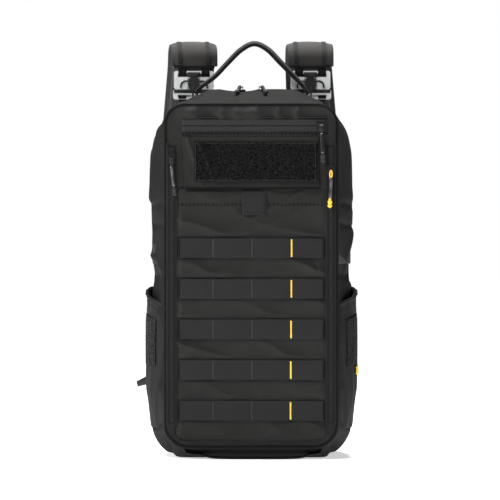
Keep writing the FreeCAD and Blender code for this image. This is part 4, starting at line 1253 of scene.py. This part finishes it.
def pad_form(name, x0, x1, z0, z1, r):
    """A padded panel on the back, swollen by a short cloth simulation, with its quilting pressed in."""
    middle, half = (x0 + x1) / 2, (x1 - x0) / 2

    def swell(x, z, side):
        edge = min((half - abs(x - middle)) / (16 * MM), (z - z0) / (16 * MM), (z1 - z) / (16 * MM))
        full = math.sqrt(1 - (1 - min(max(edge, 0.0), 1.0)) ** 2)
        return (BACK_Y + 1.0 * MM) if side else BACK_Y + (2.0 + 8.5 * full) * MM

    front = np.array(rounded_sheet(half, z0, z1, r, 34, 44, lambda x, z: swell(x, z, 0), middle))
    rear = np.array(rounded_sheet(half, z0, z1, r, 34, 44, lambda x, z: swell(x, z, 1), middle))
    rows, columns = front.shape[:2]
    verts = np.vstack([front.reshape(-1, 3), rear.reshape(-1, 3)])
    faces = [f[::-1] for f in grid_faces(rows, columns)]
    faces += [tuple(i + rows * columns for i in f) for f in grid_faces(rows, columns)]
    rim = list(range(columns)) + [i * columns + columns - 1 for i in range(1, rows)]
    rim += [(rows - 1) * columns + j for j in range(columns - 2, -1, -1)]
    rim += [i * columns for i in range(rows - 2, 0, -1)]
    for a, b in zip(rim, rim[1:] + rim[:1]):
        faces.append((a, b, b + rows * columns, a + rows * columns))
    return mesh_piece(name, verts, faces, MESH_LARGE, "pack_body", replaces=("back_pads",))


def inflate(piece, pressure=4.0, cap=5 * MM, frames=20):
    """Swells a closed pad with Blender's cloth, and keeps every point within cap of where it was."""
    remesh = piece.modifiers.new("remesh", "REMESH")
    remesh.mode, remesh.voxel_size = "VOXEL", 5 * MM
    bpy.context.view_layer.objects.active = piece
    bpy.ops.object.modifier_apply(modifier="remesh")
    start = np.array([v.co[:] for v in piece.data.vertices])
    pins = piece.vertex_groups.new(name="sewn")
    pins.add([i for i, v in enumerate(start) if v[1] < BACK_Y + 1.6 * MM], 1.0, "REPLACE")
    soft = piece.modifiers.new("cloth", "CLOTH")
    soft.settings.use_pressure, soft.settings.uniform_pressure_force = True, pressure
    soft.settings.effector_weights.gravity = 0
    soft.settings.vertex_group_mass = "sewn"
    for frame_number in range(1, frames + 1):
        bpy.context.scene.frame_set(frame_number)
    shape = piece.evaluated_get(bpy.context.evaluated_depsgraph_get()).to_mesh()
    end = np.array([v.co[:] for v in shape.vertices])
    piece.modifiers.remove(soft)
    move = end - start
    size = np.linalg.norm(move, axis=1, keepdims=True)
    move *= np.minimum(1.0, cap / np.maximum(size, 1e-9))
    piece.data.vertices.foreach_set("co", (start + move).ravel())
    piece.data.update()
    piece.data.polygons.foreach_set("use_smooth", [True] * len(piece.data.polygons))
    bpy.context.scene.frame_set(1)


def quilt(piece, lines, width=2.6 * MM, depth=3.2 * MM):
    """Presses sewn channels into a pad. Each line is two (x, z) points."""
    round_off = piece.modifiers.new("rounding", "SUBSURF")
    round_off.levels = round_off.render_levels = 1
    bpy.context.view_layer.objects.active = piece
    bpy.ops.object.modifier_apply(modifier="rounding")
    points = np.array([v.co[:] for v in piece.data.vertices])
    for a, b in lines:
        a, b = np.array(a), np.array(b)
        along = b - a
        t = np.clip(((points[:, [0, 2]] - a) @ along) / (along @ along), 0, 1)
        near = np.linalg.norm(points[:, [0, 2]] - (a + t[:, None] * along), axis=1)
        lift = np.clip((points[:, 1] - BACK_Y) / (8 * MM), 0, 1)
        points[:, 1] -= depth * lift * np.exp(-(near / width) ** 2)
    piece.data.vertices.foreach_set("co", points.ravel())
    piece.data.update()


def build_back():
    top = hi("back_panel").z
    sheet = rounded_sheet(BACK_HALF, 0.3 * MM, top, STATION_R_LOW[3], 70, 120, back_depth,
                          r_top=STATION_R_TOP[3])
    cloth("back_cloth", sheet, CLOTH, "pack_body", thick=2.0 * MM, flip=True, replaces=("back_panel",),
          held="stretched")
    for name, x0, x1, z0, z1, r in (("back_pad_left", -98, -14, 212, 408, 14),
                                    ("back_pad_right", 14, 98, 212, 408, 14),
                                    ("lumbar_pad", -66, 66, 66, 186, 18)):
        pad = pad_form(name, x0 * MM, x1 * MM, z0 * MM, z1 * MM, r * MM)
        inflate(pad)
        middle = (x0 + x1) / 2 * MM
        reach = (x1 - x0) / 2 * MM - 12 * MM
        lines = [((middle - reach, z), (middle + reach, z)) for z in np.arange(z0 + 33, z1 - 20, 33) * MM]
        quilt(pad, lines)
        ring = rounded((x1 - x0) / 2 * MM - 1 * MM, (z0 + 1) * MM, (z1 - 1) * MM, r * MM)
        trim = even(np.array([(middle + x, BACK_Y + 1.6 * MM, z) for x, z in ring]), 220)
        tube(name + "_binding", trim, 2.0 * MM, TAPE, "pack_body")


# ---- inside ----
def build_inside():
    front = lo("pocket_divider").y + 1 * MM
    y = hi("organiser_loops").y + 1.0 * MM
    wall = rounded_sheet(eased(y, STATION_HALF) - 3.2 * MM, 26 * MM, eased(y, STATION_TOP) - 3.4 * MM,
                         34 * MM, 90, 110, lambda x, z: y + 0.5 * MM * fuzz(x * 9, z * 9, 51.0),
                         r_top=eased(y, STATION_R_TOP) - 3 * MM)
    cloth("divider_cloth", wall, LINING, "main_lid", thick=1.4 * MM, replaces=("pocket_divider",),
          held="stretched")
    xs = np.linspace(-90, 90, 40) * MM
    floor = [[(x, yy, 25 * MM) for x in xs] for yy in np.linspace(front, y, 12)]
    cloth("pocket_floor", floor, LINING, "main_lid", thick=1.6 * MM, flip=True, held="stretched")
    y = hi("inner_mesh_pockets").y
    for name, z0, z1 in (("lower", 62, 226), ("upper", 248, 412)):
        sheet = rounded_sheet(98 * MM, z0 * MM, z1 * MM, 8 * MM, 70, 60,
                              lambda x, z: y - 0.3 * MM + 0.9 * MM * max(0.0, fuzz(x * 16, z * 12, 61.0)))
        cloth("mesh_pocket_" + name, sheet, MESH, "main_lid", thick=0.5 * MM, flip=True,
              replaces=("inner_mesh_pockets",), held="stretched")
        ring = rounded(97.4 * MM, (z0 + 0.6) * MM, (z1 - 0.6) * MM, 8 * MM)
        trim = even(np.array([(x, y, z) for x, z in ring]), 260)
        tube("mesh_pocket_%s_binding" % name, trim, 1.2 * MM, TAPE, "main_lid")
        zip_line = np.array([(x, y + 0.6 * MM, (z1 - 12) * MM) for x in np.linspace(-92, 92, 60) * MM])
        band("mesh_pocket_%s_tape" % name, zip_line, REAR, 14 * MM, 0.9 * MM, TAPE, "main_lid")
        teeth("main_lid", zip_line + mm(0, 0.7, 0), (0, 0, 1), 4.0 * MM)
    y = lo("organiser_loops").y
    tacks = np.linspace(-82, 82, 8) * MM
    for n, z in enumerate((280, 180, 80)):
        path = []
        for x in np.linspace(-84, 84, 150) * MM:
            k = min(max(int(np.searchsorted(tacks, x)) - 1, 0), len(tacks) - 2)
            t = min(max((x - tacks[k]) / (tacks[k + 1] - tacks[k]), 0.0), 1.0)
            path.append((x, y + 0.5 * MM - 3.2 * MM * math.sin(math.pi * t), z * MM))
        band("elastic_row_%d" % (n + 1), path, FRONT, 38 * MM, 1.4 * MM, WEB, "main_lid",
             replaces=("organiser_loops",))
        for x in tacks:
            bar_tack("main_lid", x, z * MM, 34 * MM, y - 0.4 * MM, THREAD)
    low, top = lo("inner_loop_panel"), hi("inner_loop_panel")
    board = rounded_sheet(98 * MM, low.z, top.z, 22 * MM, 90, 140,
                          lambda x, z: low.y + 0.2 * MM + 0.25 * MM * fuzz(x * 90, z * 90, 71.0))
    cloth("loop_board", board, PILE, "pack_body", thick=1.2 * MM, replaces=("inner_loop_panel",),
          held="stretched")
    for k in range(5):
        z = (110 + 62 * k) * MM
        strip = np.array([(x, low.y - 1.2 * MM, z) for x in np.linspace(-92, 92, 60) * MM])
        band("board_webbing_%d" % k, strip, FRONT, 25.4 * MM, 1.5 * MM, WEB, "pack_body")


# ---- hard parts that keep their CAD shape ----
def finish_node(name, material, bevel=0.4 * MM):
    node = bpy.data.objects[name]
    node.data.materials.clear()
    node.data.materials.append(material)
    soften = node.modifiers.new("edges", "BEVEL")
    soften.width, soften.segments, soften.limit_method = bevel, 2, "ANGLE"


def finish_nodes():
    for name in ("left", "right", "upper", "main_left", "main_right"):
        finish_node("zip_slider_" + name, BLACK_METAL, 0.3 * MM)
    for name in ("left", "right"):
        finish_node("buckle_plate_" + name, BRIGHT_METAL, 0.6 * MM)
        finish_node("buckle_socket_" + name, BRIGHT_METAL, 0.6 * MM)
        finish_node("release_latch_" + name, MOULDED, 0.5 * MM)
        finish_node("ladder_lock_" + name, MOULDED, 0.5 * MM)
        finish_node("sternum_strap_" + name, MOULDED, 0.5 * MM)
    finish_node("frame_sheet", SHEET)


add_camera()
build_shells()
build_face()
build_rows()
build_flap()
build_pull_tab()
build_front_zips()
build_upper_zip()
build_main_zip()
build_pulls()
build_pockets()
build_handles()
build_strap("left", -1)
build_strap("right", 1)
build_sternum()
build_back()
build_inside()
finish_nodes()
make_stitches()
add_studio()
